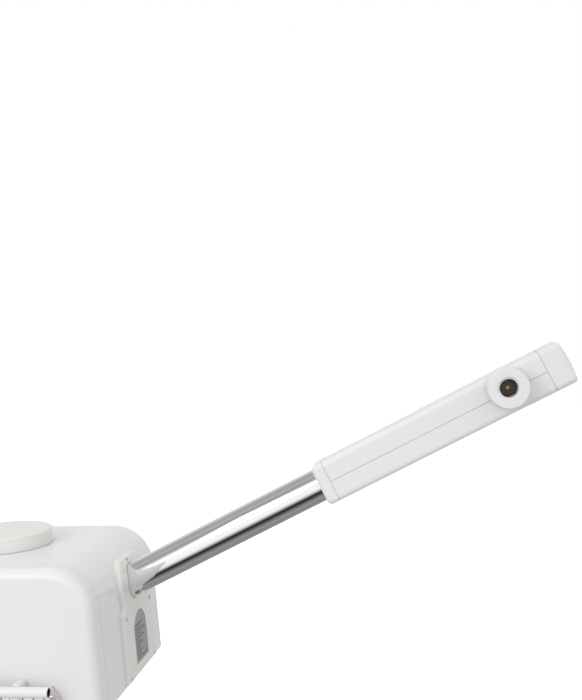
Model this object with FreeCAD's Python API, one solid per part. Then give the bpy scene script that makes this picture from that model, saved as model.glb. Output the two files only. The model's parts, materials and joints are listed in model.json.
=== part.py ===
"""Arm-mounted hood hair dryer, built as separate pieces in millimetres.

Frame: +Z up, +X along the width of the dryer head, +Y towards the post or wall
that carries the arm. The origin is on the axis of the arm's pivot, at the face
where the mounting stub leaves its flange. Each piece is written to its own file
in parts/, named after its node.
"""
import FreeCAD
import Part
import math
import os

Vector = FreeCAD.Vector
X_AXIS = Vector(1, 0, 0)
Y_AXIS = Vector(0, 1, 0)
Z_AXIS = Vector(0, 0, 1)

# ---------------------------------------------------------------- clearances
running = 0.06            # radial, shaft in its bearing
slide_gap = 0.35          # flat or curved faces of bodies that move past each other
fit_gap = 0.15            # pieces of one body that slip together
seam_gap = 0.6            # open line between the two shells of the head

# ---------------------------------------------------------------- arm
arm_tilt = 25.4           # degrees above horizontal, towards the pivot
sleeve_wall = 2.6
sleeve_corner = 6.0
sleeve_inner_len = 216.3  # pivot to the nose collar
sleeve_outer_len = 45.1   # pivot to the end cap
nose_len = 14.2
nose_round = 5.5
end_cap_len = 25.8
end_crown = 115.0         # radius of the end cap's slightly bulged end
end_round = 6.0
cap_spigot = 8.0
joint_line = 0.7          # groove between neighbouring sleeve pieces
rib_length = 8.0
rib_from_nose = 28.6      # nose joint to the middle of the inner rib
rib_from_spigot = 1.4     # end cap's spigot to the outer rib
core_screw_place = -14.0
shell_screw_len = 6.5
shell_screw_head = 2.8
shell_screw_shank = 1.4
hub_rise = 5.4            # pivot above the sleeve's centre line

# ---------------------------------------------------------------- pivot
stub_radius = 12.5
stub_len = 42.0
flange_radius = 17.0
flange_thick = 6.0
thrust_thick = 2.0
spindle_radius = 9.0
bush_wall = 2.5
core_length = 46.0
boss_face_radius = 21.5
boss_base_radius = 22.1
boss_stand = 28.0
boss_hole_radius = 9.8
boss_chamfer = 2.5
boss_hole_depth = 18.0     # then the bore widens for the clip
boss_room_radius = 11.4
spindle_end_depth = 19.0  # below the boss face
clip_thick = 1.6
clip_radius = 10.9
plug_radius = 1.7
disc_spring_thick = 1.4

# ---------------------------------------------------------------- chrome tube
tube_radius = 19.05
tube_wall = 1.5
reach = 483.7             # pivot to the point where the tube enters the head
tube_in_head = 47.0
tube_inner_end = 96.0     # pivot to the end of the tube inside the sleeve
bearing_liner_wall = 2.0
liner_short = 15.0        # the liner stops this far before the side wall
bearing_bolt_reach = 27.0
glide_len = 26.0
glide_spigot = 14.0
guide_len = 33.0
guide_wall = 1.8
lock_ring_wall = 3.6
lock_ring_len = 6.0

# ---------------------------------------------------------------- head
head_top_width = 286.8    # between the side walls, measured at the top
head_height = 154.0
side_lean = 3.0           # degrees, wider at the bottom
shoulder_radius = 50.5
rear_depth = 200.0        # from the seam back
front_depth = 23.0        # from the seam forward
front_round = 11.0
rear_round = 6.0
shell_wall = 3.0
lip_thick = 2.0
lip_len = 8.0
tube_set_back = 102.1     # seam to the tube's axis
entry_drop = 45.7         # head top to the tube's axis at the side wall
base_thick = 3.0
pillar_radius = 5.5
pillar_height = 70.0
pillar_inset = 9.0
pillar_from_seam = 22.0
base_screw_radius = 1.75

# ---------------------------------------------------------------- side cover
cover_stand = 5.0
cover_set_back = 108.2    # seam to the middle of the cover
cover_bottom_gap = 1.8
cover_foot_half = 53.0
cover_shoulder_half = 51.5
cover_shoulder_drop = 75.0
cover_waist_half = 45.0
cover_waist_drop = 66.0
cover_lobe_half = 50.0
cover_lobe_round = 30.0
cover_top_drop = 17.4
cover_top_round = 46.0
cover_edge_round = 4.6
cover_edge_margin = 6.0    # how far in from the top width the outer edges reach
cover_screw_half = 43.5
cover_screw_rise = 7.0      # lower screws above the head's lower edge
cover_screw_mid = 79.5
cover_screw_slant = 31.9    # degrees up, direction of the top screw
cover_screw_hole = 2.2
cover_screw_shank = 1.3
cover_screw_sink = 1.2
label_half = 22.0
label_rise = 16.0           # label plate above the head's lower edge
label_length = 57.0
label_thick = 0.6

# ---------------------------------------------------------------- intake cap
cap_radius = 52.5
cap_height = 17.4
cap_wall = 3.0
cap_edge = 2.0
cap_pin_radius = 6.0
cap_pin_len = 14.0
cap_set_back = 96.0       # seam to the axis of the cap, fan and heater
intake_slot_inner = 18.0
intake_slot_outer = 42.0
intake_slots = 8

# ---------------------------------------------------------------- fan and heater
duct_radius = 54.0
duct_wall = 2.0
duct_top_drop = 24.0
impeller_radius = 46.0
impeller_height = 18.0
impeller_drop = 34.0
impeller_blades = 9
blade_thick = 2.0
motor_radius = 22.0
motor_height = 34.0
motor_shaft_radius = 2.5
spoke_width = 8.0
spoke_thick = 4.0
heater_rise = 46.0         # heater's top above the head's lower edge
heater_height = 30.0
heater_radius = 49.0
mica_thick = 1.5
coil_wire = 1.5
coil_rings = 3

# ---------------------------------------------------------------- hood
hood_top_half = 120.0
hood_flare = 14.0
hood_depth = 165.0
hood_wall = 3.0
hood_front_inset = 8.0    # seam forward of the hood's front edges
hood_rear_gap = 24.0
hood_flange = 12.0
rim_height = 8.0
rim_wall = 2.5
diffuser_radius = 62.0
diffuser_thick = 3.0
diffuser_hole = 5.0

# ---------------------------------------------------------------- visor
hinge_tube_radius = 5.55
hinge_tube_wall = 0.9
hinge_half_len = 102.9
hinge_rise = 33.5          # hinge axis above the head's lower edge
hinge_stand = 17.2        # front face to the hinge axis
post_half_width = 5.0
post_crown = 3.2          # hinge axis up to the middle of the post's round top
cradle_wall = 1.65        # under the tube
cradle_lip = 0.6          # the cradle's front lip above the tube's lowest line
cradle_back = 0.8         # the cradle's mouth behind the hinge axis
post_offset = 66.8
post_screw_radius = 2.0
rail_height = 26.0
rail_thick = 4.0
rail_slot_pitch = 11.6
rail_slot_edge = 3.0      # least distance from the last slot to the rail's end
rail_slot_width = 2.2
rail_slot_height = 17.0
shield_thick = 2.0
shield_flare_half = 131.0
shield_flare_drop = 56.0
shield_depth = 190.0
shield_bow = 10.0
shield_ear = 7.0
shield_corner = 24.0
visor_screw_radius = 2.0

# ---------------------------------------------------------------- controls
knob_radius = 17.0
knob_height = 16.0
knob_drop = 62.0
timer_offset = -98.0
heat_offset = -40.0
knob_stem_radius = 3.0
knob_stem_len = 16.0
knob_gap = 0.8
unit_width = 34.0
unit_depth = 20.0
unit_bush_radius = 5.0
rocker_offset = 8.0
rocker_width = 14.0
rocker_height = 22.0
rocker_frame = 3.0
rocker_stand = 2.5
rocker_pin_radius = 1.5

# ---------------------------------------------------------------- mains entry
gland_offset = -95.0
gland_rise = 36.0          # gland above the head's lower edge
gland_radius = 11.0
gland_bore = 4.2
gland_stand = 14.0
gland_thread_radius = 7.5
terminal_size = (34.0, 16.0, 20.0)

# ---------------------------------------------------------------- worked out
lean_slope = math.tan(math.radians(side_lean))
half_top = head_top_width / 2
half_bottom = half_top + lean_slope * head_height
sleeve_height = 2 * (tube_radius + guide_wall + fit_gap + sleeve_wall)
sleeve_depth = sleeve_height
rib_places = (rib_from_nose - sleeve_inner_len,
              sleeve_outer_len - cap_spigot - rib_from_spigot - rib_length / 2)
cover_screw_low = head_height - cover_screw_rise
label_bottom_drop = head_height - label_rise
label_top_drop = label_bottom_drop - label_length
heater_drop = head_height - heater_rise
hinge_drop = head_height - hinge_rise
gland_drop = head_height - gland_rise
cradle_depth = hinge_tube_radius + cradle_wall
arm_plane = -(sleeve_depth / 2 + thrust_thick + flange_thick)
arm_dir = Vector(math.cos(math.radians(arm_tilt)), 0, math.sin(math.radians(arm_tilt)))
arm_up = Vector(-arm_dir.z, 0, arm_dir.x)
entry_half = half_top + lean_slope * entry_drop
entry = Vector(0, arm_plane, 0) - arm_dir * reach - arm_up * hub_rise
head_origin = Vector(entry.x - entry_half, arm_plane - tube_set_back, entry.z + entry_drop)
entry_in_head = entry - head_origin
face_y = -front_depth
hinge_y = face_y - hinge_stand


# ================================================================ helpers
def cylinder(radius, start, direction, length):
    """A round bar from start along direction."""
    return Part.makeCylinder(radius, length, start, direction)


def tube(outer, inner, start, direction, length):
    """A round bar with a bore."""
    return cylinder(outer, start, direction, length).cut(cylinder(inner, start, direction, length))


def block(low, high):
    """A box between two corners."""
    size = high - low
    return Part.makeBox(size.x, size.y, size.z, low)


def prism(points, direction):
    """A straight-sided outline pushed along a direction."""
    wire = Part.makePolygon(points + [points[0]])
    return Part.Face(wire).extrude(direction)


def fuse(shapes):
    """One solid out of touching ones, with no leftover joint lines."""
    return shapes[0].multiFuse(shapes[1:]).removeSplitter()


def round_edges(shape, radius, wanted):
    """Round each edge whose middle and shape pass the test."""
    edges = [edge for edge in shape.Edges if wanted(edge)]
    return shape.makeFillet(radius, edges)


def edge_middle(edge):
    """The point half way along an edge."""
    return edge.valueAt((edge.FirstParameter + edge.LastParameter) / 2)


def on_arm(shape):
    """Moves a piece from the arm's own frame (X along it) to its place."""
    turn = FreeCAD.Rotation(Y_AXIS, -arm_tilt)
    placed = shape.copy()
    placed.Placement = FreeCAD.Placement(Vector(0, arm_plane, 0), turn)
    return placed


def on_head(shape):
    """Moves a piece from the head's frame (top, middle, seam) to its place."""
    placed = shape.copy()
    placed.Placement = FreeCAD.Placement(head_origin, FreeCAD.Rotation())
    return placed


# ================================================================ arm pieces
def sleeve_section(x0, x1, inset=0.0, corner=None):
    """Rounded bar of the sleeve's section, shrunk all round by inset."""
    height = sleeve_height - 2 * inset
    depth = sleeve_depth - 2 * inset
    radius = corner if corner is not None else max(sleeve_corner - inset, 1.0)
    bar = block(Vector(x0, -depth / 2, -hub_rise - height / 2),
                Vector(x1, depth / 2, -hub_rise + height / 2))
    return round_edges(bar, radius, lambda edge: abs(edge_middle(edge).x - (x0 + x1) / 2) < 1e-6)


def sleeve_groove(x):
    """Shallow ring cut that marks a joint across the sleeve."""
    outer = sleeve_section(x - joint_line / 2, x + joint_line / 2, -1.0)
    return outer.cut(sleeve_section(x - joint_line, x + joint_line, joint_line))


def sleeve_shell(upper):
    """Half of the sleeve, split along its middle, with a hole for the pivot boss."""
    shell = sleeve_section(-sleeve_inner_len, sleeve_outer_len)
    shell = shell.cut(sleeve_section(-sleeve_inner_len - 1, sleeve_outer_len + 1, sleeve_wall))
    side = 1 if upper else -1
    keep = block(Vector(-sleeve_inner_len - 1, -sleeve_depth, -hub_rise),
                 Vector(sleeve_outer_len + 1, sleeve_depth, -hub_rise + sleeve_height))
    if not upper:
        keep = block(Vector(-sleeve_inner_len - 1, -sleeve_depth, -hub_rise - sleeve_height),
                     Vector(sleeve_outer_len + 1, sleeve_depth, -hub_rise))
    shell = shell.common(keep)
    shell = shell.cut(cylinder(spindle_radius + bush_wall + fit_gap, Vector(0, -sleeve_depth, 0),
                               Y_AXIS, 2 * sleeve_depth))
    for face in (-sleeve_depth / 2, sleeve_depth / 2):
        groove = block(Vector(-sleeve_inner_len - 1, face - joint_line, -hub_rise - joint_line / 2),
                       Vector(sleeve_outer_len + 1, face + joint_line, -hub_rise + joint_line / 2))
        shell = shell.cut(groove)
    for x in (-sleeve_inner_len, sleeve_outer_len):
        shell = shell.cut(sleeve_groove(x))
    for x in rib_places + (core_screw_place,):
        shell = shell.cut(shell_screw(x, side, fit_gap))
    return shell


def shell_screw(x, side, grow=0.0):
    """A screw from the back of the sleeve, one of a row in each shell."""
    z = -hub_rise + side * sleeve_height / 4
    back = sleeve_depth / 2
    head = cylinder(shell_screw_head + grow, Vector(x, back - 1.2, z), Y_AXIS, 1.2)
    shank = cylinder(shell_screw_shank + grow, Vector(x, back - shell_screw_len, z), Y_AXIS,
                     shell_screw_len)
    return fuse([head, shank])


def arm_shell_screws():
    """The screws that hold the shells to the ribs inside."""
    screws = [shell_screw(x, side) for x in rib_places + (core_screw_place,) for side in (1, -1)]
    return Part.makeCompound(screws)


def arm_ribs():
    """Frames inside the sleeve that the screws bite into, open for the tube."""
    ribs = []
    for x in rib_places:
        rib = sleeve_section(x - rib_length / 2, x + rib_length / 2, sleeve_wall)
        rib = rib.cut(cylinder(tube_radius + slide_gap, Vector(x - rib_length, 0, -hub_rise), X_AXIS,
                               2 * rib_length))
        for side in (1, -1):
            rib = rib.cut(shell_screw(x, side, 0.02))
        ribs.append(rib)
    return ribs


def nose_collar():
    """Rounded lower end of the sleeve, with the guide's bore."""
    x0 = -sleeve_inner_len - nose_len
    collar = sleeve_section(x0, -sleeve_inner_len)
    collar = round_edges(collar, nose_round, lambda edge: abs(edge_middle(edge).x - x0) < 1e-6)
    spigot = sleeve_section(-sleeve_inner_len, -sleeve_inner_len + cap_spigot, sleeve_wall + fit_gap)
    collar = fuse([collar, spigot])
    bore = cylinder(tube_radius + guide_wall + fit_gap, Vector(x0 - 1, 0, -hub_rise), X_AXIS,
                    nose_len + cap_spigot + 2)
    collar = collar.cut(bore)
    return collar.cut(sleeve_groove(-sleeve_inner_len))


def tube_guide():
    """Plastic bush that the chrome tube slides in."""
    x0 = -sleeve_inner_len - nose_len + 1.0
    return tube(tube_radius + guide_wall, tube_radius + running, Vector(x0, 0, -hub_rise), X_AXIS,
                guide_len)


def end_cap():
    """Closed upper end of the sleeve."""
    x1 = sleeve_outer_len + end_cap_len
    cap = sleeve_section(sleeve_outer_len, x1)
    cap = round_edges(cap, end_round, lambda edge: abs(edge_middle(edge).x - x1) < 1e-6)
    cap = cap.common(cylinder(end_crown, Vector(x1 - end_crown, -sleeve_depth, -hub_rise), Y_AXIS,
                              2 * sleeve_depth))
    cap = cap.cut(sleeve_section(sleeve_outer_len - 1, x1 - 7.0, sleeve_wall + 1.0))
    spigot = sleeve_section(sleeve_outer_len - cap_spigot, sleeve_outer_len, sleeve_wall + fit_gap)
    spigot = spigot.cut(sleeve_section(sleeve_outer_len - cap_spigot - 1, sleeve_outer_len + 1,
                                       sleeve_wall + 2.0))
    cap = fuse([cap, spigot])
    return cap.cut(sleeve_groove(sleeve_outer_len))


def pivot_core():
    """Cast block inside the sleeve that carries the pivot's bush."""
    core = sleeve_section(-core_length / 2, core_length / 2, sleeve_wall)
    for side in (1, -1):
        core = core.cut(shell_screw(core_screw_place, side, 0.02))
    return core.cut(cylinder(spindle_radius + bush_wall, Vector(0, -sleeve_depth, 0), Y_AXIS,
                             2 * sleeve_depth))


def pivot_bush():
    """Bronze bush between the core and the spindle."""
    return tube(spindle_radius + bush_wall, spindle_radius + running,
                Vector(0, -sleeve_depth / 2, 0), Y_AXIS, sleeve_depth)


def hub_boss():
    """Round boss on the front of the sleeve, with an open recess over the spindle's end."""
    base_y = -sleeve_depth / 2
    boss = Part.makeCone(boss_base_radius, boss_face_radius, boss_stand, Vector(0, base_y, 0), -Y_AXIS)
    boss = round_edges(boss, 1.4, lambda edge: abs(edge_middle(edge).y - (base_y - boss_stand)) < 1e-6
                       and edge.Length > 50)
    boss = boss.cut(cylinder(boss_hole_radius, Vector(0, base_y + 1, 0), -Y_AXIS, boss_stand + 2))
    boss = boss.cut(cylinder(boss_room_radius, Vector(0, base_y + 1, 0), -Y_AXIS,
                             boss_stand - boss_hole_depth + 1))
    chamfer = Part.makeCone(boss_hole_radius, boss_hole_radius + boss_chamfer + 1, boss_chamfer + 1,
                            Vector(0, base_y - boss_stand + boss_chamfer, 0), -Y_AXIS)
    return boss.cut(chamfer)


# ================================================================ pivot pieces (fixed to the post)
def spindle_front():
    """Y of the spindle's front end in the arm's frame."""
    return -sleeve_depth / 2 - boss_stand + spindle_end_depth


def pivot_spindle():
    """Steel spindle with its flange and the stub that a post or wall socket takes."""
    front = spindle_front()
    back = sleeve_depth / 2 + thrust_thick
    shaft = cylinder(spindle_radius, Vector(0, front, 0), Y_AXIS, back - front)
    flange = cylinder(flange_radius, Vector(0, back, 0), Y_AXIS, flange_thick)
    stub = cylinder(stub_radius, Vector(0, back + flange_thick, 0), Y_AXIS, stub_len)
    stub = stub.makeChamfer(1.0, [edge for edge in stub.Edges
                                  if abs(edge_middle(edge).y - (back + flange_thick + stub_len)) < 1e-6
                                  and edge.Length > 2])
    spindle = fuse([shaft, flange, stub])
    spindle = spindle.cut(cylinder(plug_radius, Vector(0, front - 1, 0), Y_AXIS, 13.0))
    groove = tube(spindle_radius + 1, spindle_radius - 1.0, Vector(0, clip_y(), 0), Y_AXIS, clip_thick)
    return spindle.cut(groove)


def clip_y():
    """Front face of the retaining clip in the arm's frame."""
    return -sleeve_depth / 2 - disc_spring_thick - thrust_thick - clip_thick - fit_gap


def retaining_clip():
    """Spring clip in the spindle's groove."""
    clip = tube(clip_radius, spindle_radius - 1.0, Vector(0, clip_y(), 0), Y_AXIS, clip_thick)
    gap = block(Vector(-3.0, clip_y() - 1, -clip_radius - 1), Vector(3.0, clip_y() + clip_thick + 1, 0))
    return clip.cut(gap)


def disc_spring():
    """Dished washer that keeps the pivot tight."""
    start = Vector(0, clip_y() + clip_thick, 0)
    return tube(clip_radius, spindle_radius + fit_gap, start, Y_AXIS, disc_spring_thick)


def friction_washer():
    """Fibre washer under the dished washer, against the bush."""
    start = Vector(0, -sleeve_depth / 2 - thrust_thick - fit_gap, 0)
    return tube(clip_radius, spindle_radius + fit_gap, start, Y_AXIS, thrust_thick)


def thrust_washer():
    """Nylon washer between the sleeve's back and the flange."""
    return tube(flange_radius - 2.0, spindle_radius + fit_gap, Vector(0, sleeve_depth / 2, 0), Y_AXIS,
                thrust_thick)


def spindle_plug():
    """Brass grease plug in the spindle's front end."""
    plug = cylinder(plug_radius, Vector(0, spindle_front() - 0.6, 0), Y_AXIS, 12.0)
    slot = block(Vector(-3, spindle_front() - 1.0, -0.4), Vector(3, spindle_front() - 0.2, 0.4))
    return plug.cut(slot)


# ================================================================ chrome tube pieces
def extension_tube():
    """The chrome tube between the sleeve and the head."""
    return tube(tube_radius, tube_radius - tube_wall, Vector(-reach - tube_in_head, 0, -hub_rise), X_AXIS,
                reach + tube_in_head - tube_inner_end)


def tube_glide():
    """Plastic block on the tube's upper end that keeps it true in the sleeve."""
    block_part = sleeve_section(-tube_inner_end, -tube_inner_end + glide_len, sleeve_wall + slide_gap)
    spigot = cylinder(tube_radius - tube_wall, Vector(-tube_inner_end - glide_spigot, 0, -hub_rise),
                      X_AXIS, glide_spigot)
    return fuse([block_part, spigot])


def lock_ring():
    """Steel ring on the tube's lower end that keeps the head on it."""
    return tube(tube_radius + lock_ring_wall, tube_radius, Vector(-reach - tube_in_head, 0, -hub_rise),
                X_AXIS, lock_ring_len)


# ================================================================ head pieces
def side_x(drop):
    """Half width of the head at a drop below its top."""
    return half_top + lean_slope * drop


def head_prism(inset, y0, y1, floor=None):
    """The head's arch-shaped section, shrunk by inset, between two planes across Y."""
    lean = math.radians(side_lean)
    floor = -head_height if floor is None else floor
    radius = shoulder_radius - inset
    centre_z = -shoulder_radius
    centre_x = side_x(shoulder_radius) - shoulder_radius / math.cos(lean)
    tangent = Vector(centre_x + radius * math.cos(lean), y0, centre_z + radius * math.sin(lean))
    half = (math.radians(90) + lean) / 2
    middle = Vector(centre_x + radius * math.cos(half), y0, centre_z + radius * math.sin(half))
    foot = Vector(tangent.x + (tangent.z - floor) * lean_slope, y0, floor)
    crown = Vector(centre_x, y0, -inset)

    def mirrored(point):
        return Vector(-point.x, point.y, point.z)

    edges = [
        Part.LineSegment(mirrored(crown), crown).toShape(),
        Part.Arc(crown, middle, tangent).toShape(),
        Part.LineSegment(tangent, foot).toShape(),
        Part.LineSegment(foot, mirrored(foot)).toShape(),
        Part.LineSegment(mirrored(foot), mirrored(tangent)).toShape(),
        Part.Arc(mirrored(tangent), mirrored(middle), mirrored(crown)).toShape(),
    ]
    return Part.Face(Part.Wire(edges)).extrude(Vector(0, y1 - y0, 0))


def rounded_end(solid, y_end, radius, floor):
    """Rounds the end edges of a head prism, apart from its bottom edge."""
    return round_edges(solid, radius, lambda edge: abs(edge_middle(edge).y - y_end) < 1e-6
                       and edge_middle(edge).z > floor + 1)


def head_tube_bore(grow):
    """Cylinder round the chrome tube, wider by grow, in the head's frame."""
    start = entry_in_head - arm_dir * (tube_in_head + 30)
    return cylinder(tube_radius + grow, start, arm_dir, tube_in_head + 100)


def rear_shell():
    """Back part of the head's casing, open at the seam and at the bottom."""
    floor = -head_height
    outer = rounded_end(head_prism(0, seam_gap / 2, rear_depth), rear_depth, rear_round, floor)
    inner = head_prism(shell_wall, -1, rear_depth - shell_wall, floor - 1)
    inner = rounded_end(inner, rear_depth - shell_wall, rear_round - shell_wall, floor - 1)
    shell = outer.cut(inner)
    pillars = [pillar(x, y, outer) for x, y in pillar_places()]
    shell = fuse([shell] + pillars)
    shell = shell.cut(head_tube_bore(slide_gap + 0.4))
    shell = shell.cut(cylinder(cap_pin_radius + running, Vector(0, cap_set_back, -shell_wall - 1),
                               Z_AXIS, shell_wall + 2))
    for index in range(intake_slots):
        shell = shell.cut(intake_slot(index * 360 / intake_slots))
    for cut in cover_screw_cuts(0.02) + bearing_bolt_shapes(0.02):
        shell = shell.cut(cut)
    shell = shell.cut(gland_hole())
    return shell.cut(base_screw_cuts(0.02))


def pillar_places():
    """Where the screws from below go, in the head's frame."""
    x = half_bottom - pillar_inset
    near = pillar_from_seam
    far = rear_depth - pillar_from_seam
    return [(x, near), (-x, near), (x, far), (-x, far)]


def pillar(x, y, outer):
    """Screw post on the inside of the side wall."""
    post = cylinder(pillar_radius, Vector(x, y, -head_height + base_thick), Z_AXIS, pillar_height)
    return post.common(outer)


def intake_slot(angle):
    """A short radial slot under the intake cap."""
    slot = block(Vector(intake_slot_inner, -2.5, -shell_wall - 1), Vector(intake_slot_outer, 2.5, 1))
    slot = round_edges(slot, 2.4, lambda edge: abs(edge_middle(edge).z + shell_wall / 2) < 0.1)
    slot.Placement = FreeCAD.Placement(Vector(0, cap_set_back, 0), FreeCAD.Rotation(Z_AXIS, angle))
    return slot


def front_shell():
    """Front tray of the casing, with the lip that goes inside the rear shell."""
    floor = -head_height
    outer = rounded_end(head_prism(0, face_y, -seam_gap / 2), face_y, front_round, floor)
    inner = head_prism(shell_wall, face_y + shell_wall, 1, floor - 1)
    inner = rounded_end(inner, face_y + shell_wall, front_round - shell_wall, floor - 1)
    lip_inset = shell_wall + fit_gap
    lip = head_prism(lip_inset, -4.0, lip_len)
    lip = lip.cut(head_prism(lip_inset + lip_thick, -5.0, lip_len + 1, floor - 1))
    root = head_prism(1.0, -6.0, -2.5)
    root = root.cut(head_prism(lip_inset + lip_thick, -7.0, 0, floor - 1))
    shell = fuse([outer.cut(inner), root, lip])
    for offset in (timer_offset, heat_offset):
        shell = shell.cut(cylinder(unit_bush_radius + fit_gap, Vector(offset, face_y - 1, -knob_drop),
                                   Y_AXIS, shell_wall + 2))
    shell = shell.cut(rocker_opening())
    for offset in (post_offset, -post_offset):
        shell = shell.cut(cylinder(post_screw_radius, Vector(offset, face_y - 1, -hinge_drop), Y_AXIS,
                                   shell_wall + 2))
    return shell


def base_plate():
    """Flat plate that closes the head from below, with the air outlet."""
    z0 = -head_height
    inset = shell_wall + fit_gap
    plate = head_prism(inset, face_y + inset, rear_depth - inset)
    plate = rounded_end(plate, face_y + inset, front_round - inset, z0)
    plate = rounded_end(plate, rear_depth - inset, rear_round - inset, z0)
    plate = plate.common(block(Vector(-400, -400, z0), Vector(400, 400, z0 + base_thick)))
    plate = plate.cut(base_lip_relief())
    plate = plate.cut(cylinder(duct_radius - duct_wall, Vector(0, cap_set_back, z0 - 1), Z_AXIS,
                               base_thick + 2))
    return plate.cut(base_screw_cuts(0.02))


def base_lip_relief():
    """Room in the base plate for the front shell's lip."""
    inset = shell_wall
    ring = head_prism(inset, -6.5, lip_len + fit_gap, -head_height - 1)
    return ring.cut(head_prism(inset + fit_gap * 2 + lip_thick, -7.5, lip_len + 1, -head_height - 2))


def base_screw(x, y, grow=0.0):
    """A screw from below into a pillar."""
    z0 = -head_height
    head = cylinder(base_screw_radius * 1.9 + grow, Vector(x, y, z0), Z_AXIS, 1.6)
    shank = cylinder(base_screw_radius + grow, Vector(x, y, z0), Z_AXIS, 16.0)
    return fuse([head, shank])


def base_screws():
    """The screws that hold the base plate."""
    return Part.makeCompound([base_screw(x, y) for x, y in pillar_places()])


def base_screw_cuts(grow):
    """All the base screws as one cutting shape."""
    return Part.makeCompound([base_screw(x, y, grow) for x, y in pillar_places()])


# ---------------------------------------------------------------- side cover
def cover_outline():
    """The cover's outline seen from the side, as a face in the plane X = 0."""
    bottom = -head_height + cover_bottom_gap
    centre = cover_set_back
    top = -cover_top_drop
    spring = top - cover_lobe_round
    flat = cover_lobe_half - cover_lobe_round
    diagonal = cover_lobe_round * math.sqrt(0.5)
    right = [
        Vector(0, centre + flat, top),
        Vector(0, centre + cover_lobe_half, spring),
        Vector(0, centre + cover_waist_half, -cover_waist_drop),
        Vector(0, centre + cover_shoulder_half, -cover_shoulder_drop),
        Vector(0, centre + cover_foot_half, bottom),
    ]
    left = [Vector(0, 2 * centre - point.y, point.z) for point in reversed(right)]
    points = right[1:] + left[:-1]
    edges = [Part.LineSegment(a, b).toShape() for a, b in zip(points[:-1], points[1:])]
    edges.append(Part.LineSegment(left[-1], right[0]).toShape())
    for start, end, side in ((right[0], right[1], 1), (left[-1], left[-2], -1)):
        middle = Vector(0, centre + side * (flat + diagonal), spring + diagonal)
        edges.append(Part.Arc(start, middle, end).toShape())
    return Part.Face(Part.Wire(Part.__sortEdges__(edges)))


def cover_blank():
    """The cover's full thickness, before it is hollowed to the casing's surface."""
    outline = cover_outline()
    outline.translate(Vector(half_top - shoulder_radius, 0, 0))
    slab = outline.extrude(Vector(shoulder_radius + cover_stand + 20, 0, 0))
    top = 0.0
    x_top = side_x(top) + cover_stand
    x_foot = side_x(head_height) + cover_stand
    section = prism([Vector(half_top - shoulder_radius - 5, 0, top), Vector(x_top, 0, top),
                     Vector(x_foot, 0, -head_height), Vector(half_top - shoulder_radius - 5, 0, -head_height)],
                    Vector(0, 2 * cover_set_back, 0))
    section = round_edges(section, cover_top_round, lambda edge: (edge_middle(edge)
                          - Vector(x_top, cover_set_back, top)).Length < 0.5)
    blank = slab.common(section)
    return blank


def side_cover():
    """Cover on the side wall, with a raised arched lobe round the chrome tube."""
    blank = cover_blank()

    def outer_edge(edge):
        point = edge_middle(edge)
        level = abs(edge.firstVertex().Z - edge.lastVertex().Z) < 1e-6 and type(edge.Curve) is Part.Line
        tangent_line = level and point.z > -cover_waist_drop
        return point.x > half_top - cover_edge_margin and not tangent_line

    rounded = round_edges(blank, cover_edge_round, outer_edge)
    cover = rounded.cut(head_prism(0, -10, rear_depth + 10, -head_height - 10))
    cover = cover.cut(head_tube_bore(slide_gap))
    for cut in cover_screw_cuts(0.02):
        cover = cover.cut(cut)
    for hole in cover_screw_recesses():
        cover = cover.cut(hole)
    return cover.cut(label_recess())


def cover_screw_axes():
    """Seat point on the cover's outer face and outward direction of each screw."""
    axes = []
    lean = math.radians(side_lean)
    outward = Vector(math.cos(lean), 0, math.sin(lean))
    for drop in (cover_screw_mid, cover_screw_low):
        for side in (-1, 1):
            seat = Vector(side_x(drop) + cover_stand, cover_set_back + side * cover_screw_half, -drop)
            axes.append((seat, outward))
    corner = Vector(side_x(0) + cover_stand - cover_top_round, tube_set_back, -cover_top_round)
    slant = Vector(math.cos(math.radians(cover_screw_slant)), 0, math.sin(math.radians(cover_screw_slant)))
    axes.append((corner + slant * cover_top_round, slant))
    return axes


def cover_screw(seat, outward, grow=0.0):
    """A small screw sunk under the cover's face."""
    top = seat - outward * cover_screw_sink
    head = cylinder(cover_screw_hole - 0.1 + grow, top - outward * 1.2, outward, 1.2)
    shank = cylinder(cover_screw_shank + grow, top - outward * 8.0, outward, 8.0)
    return fuse([head, shank])


def cover_screws():
    """The screws of the side cover."""
    return Part.makeCompound([cover_screw(seat, outward) for seat, outward in cover_screw_axes()])


def cover_screw_cuts(grow):
    """Cutting shapes for the screws."""
    return [cover_screw(seat, outward, grow) for seat, outward in cover_screw_axes()]


def cover_screw_recesses():
    """Open recesses over the screw heads."""
    return [cylinder(cover_screw_hole, seat - outward * cover_screw_sink, outward, 6.0)
            for seat, outward in cover_screw_axes()]


def label_shape(depth, grow=0.0):
    """Arched plate seen from the side, pushed outward through the cover's face."""
    centre = cover_set_back
    half = label_half + grow
    spring = -label_top_drop - label_half
    bottom = -label_bottom_drop - grow
    x0 = side_x(label_bottom_drop) - 10
    low_right = Vector(x0, centre + half, bottom)
    low_left = Vector(x0, centre - half, bottom)
    high_right = Vector(x0, centre + half, spring)
    high_left = Vector(x0, centre - half, spring)
    edges = [
        Part.LineSegment(low_left, low_right).toShape(),
        Part.LineSegment(low_right, high_right).toShape(),
        Part.Arc(high_right, Vector(x0, centre, spring + half), high_left).toShape(),
        Part.LineSegment(high_left, low_left).toShape(),
    ]
    slab = Part.Face(Part.Wire(edges)).extrude(Vector(30, 0, 0))
    inner = cover_stand - label_thick - depth
    skin = lean_layer(inner, inner + label_thick + depth * 2)
    return slab.common(skin)


def lean_layer(inner, outer):
    """Thin leaning layer that lies between two offsets of the side wall."""
    z_top = -60.0
    return prism([Vector(side_x(-z_top) + inner, 0, z_top), Vector(side_x(-z_top) + outer, 0, z_top),
                  Vector(side_x(head_height) + outer, 0, -head_height),
                  Vector(side_x(head_height) + inner, 0, -head_height)],
                 Vector(0, 2 * cover_set_back, 0))


def label_recess():
    """Shallow pocket for the label plate."""
    return label_shape(0.4, fit_gap)


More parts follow.
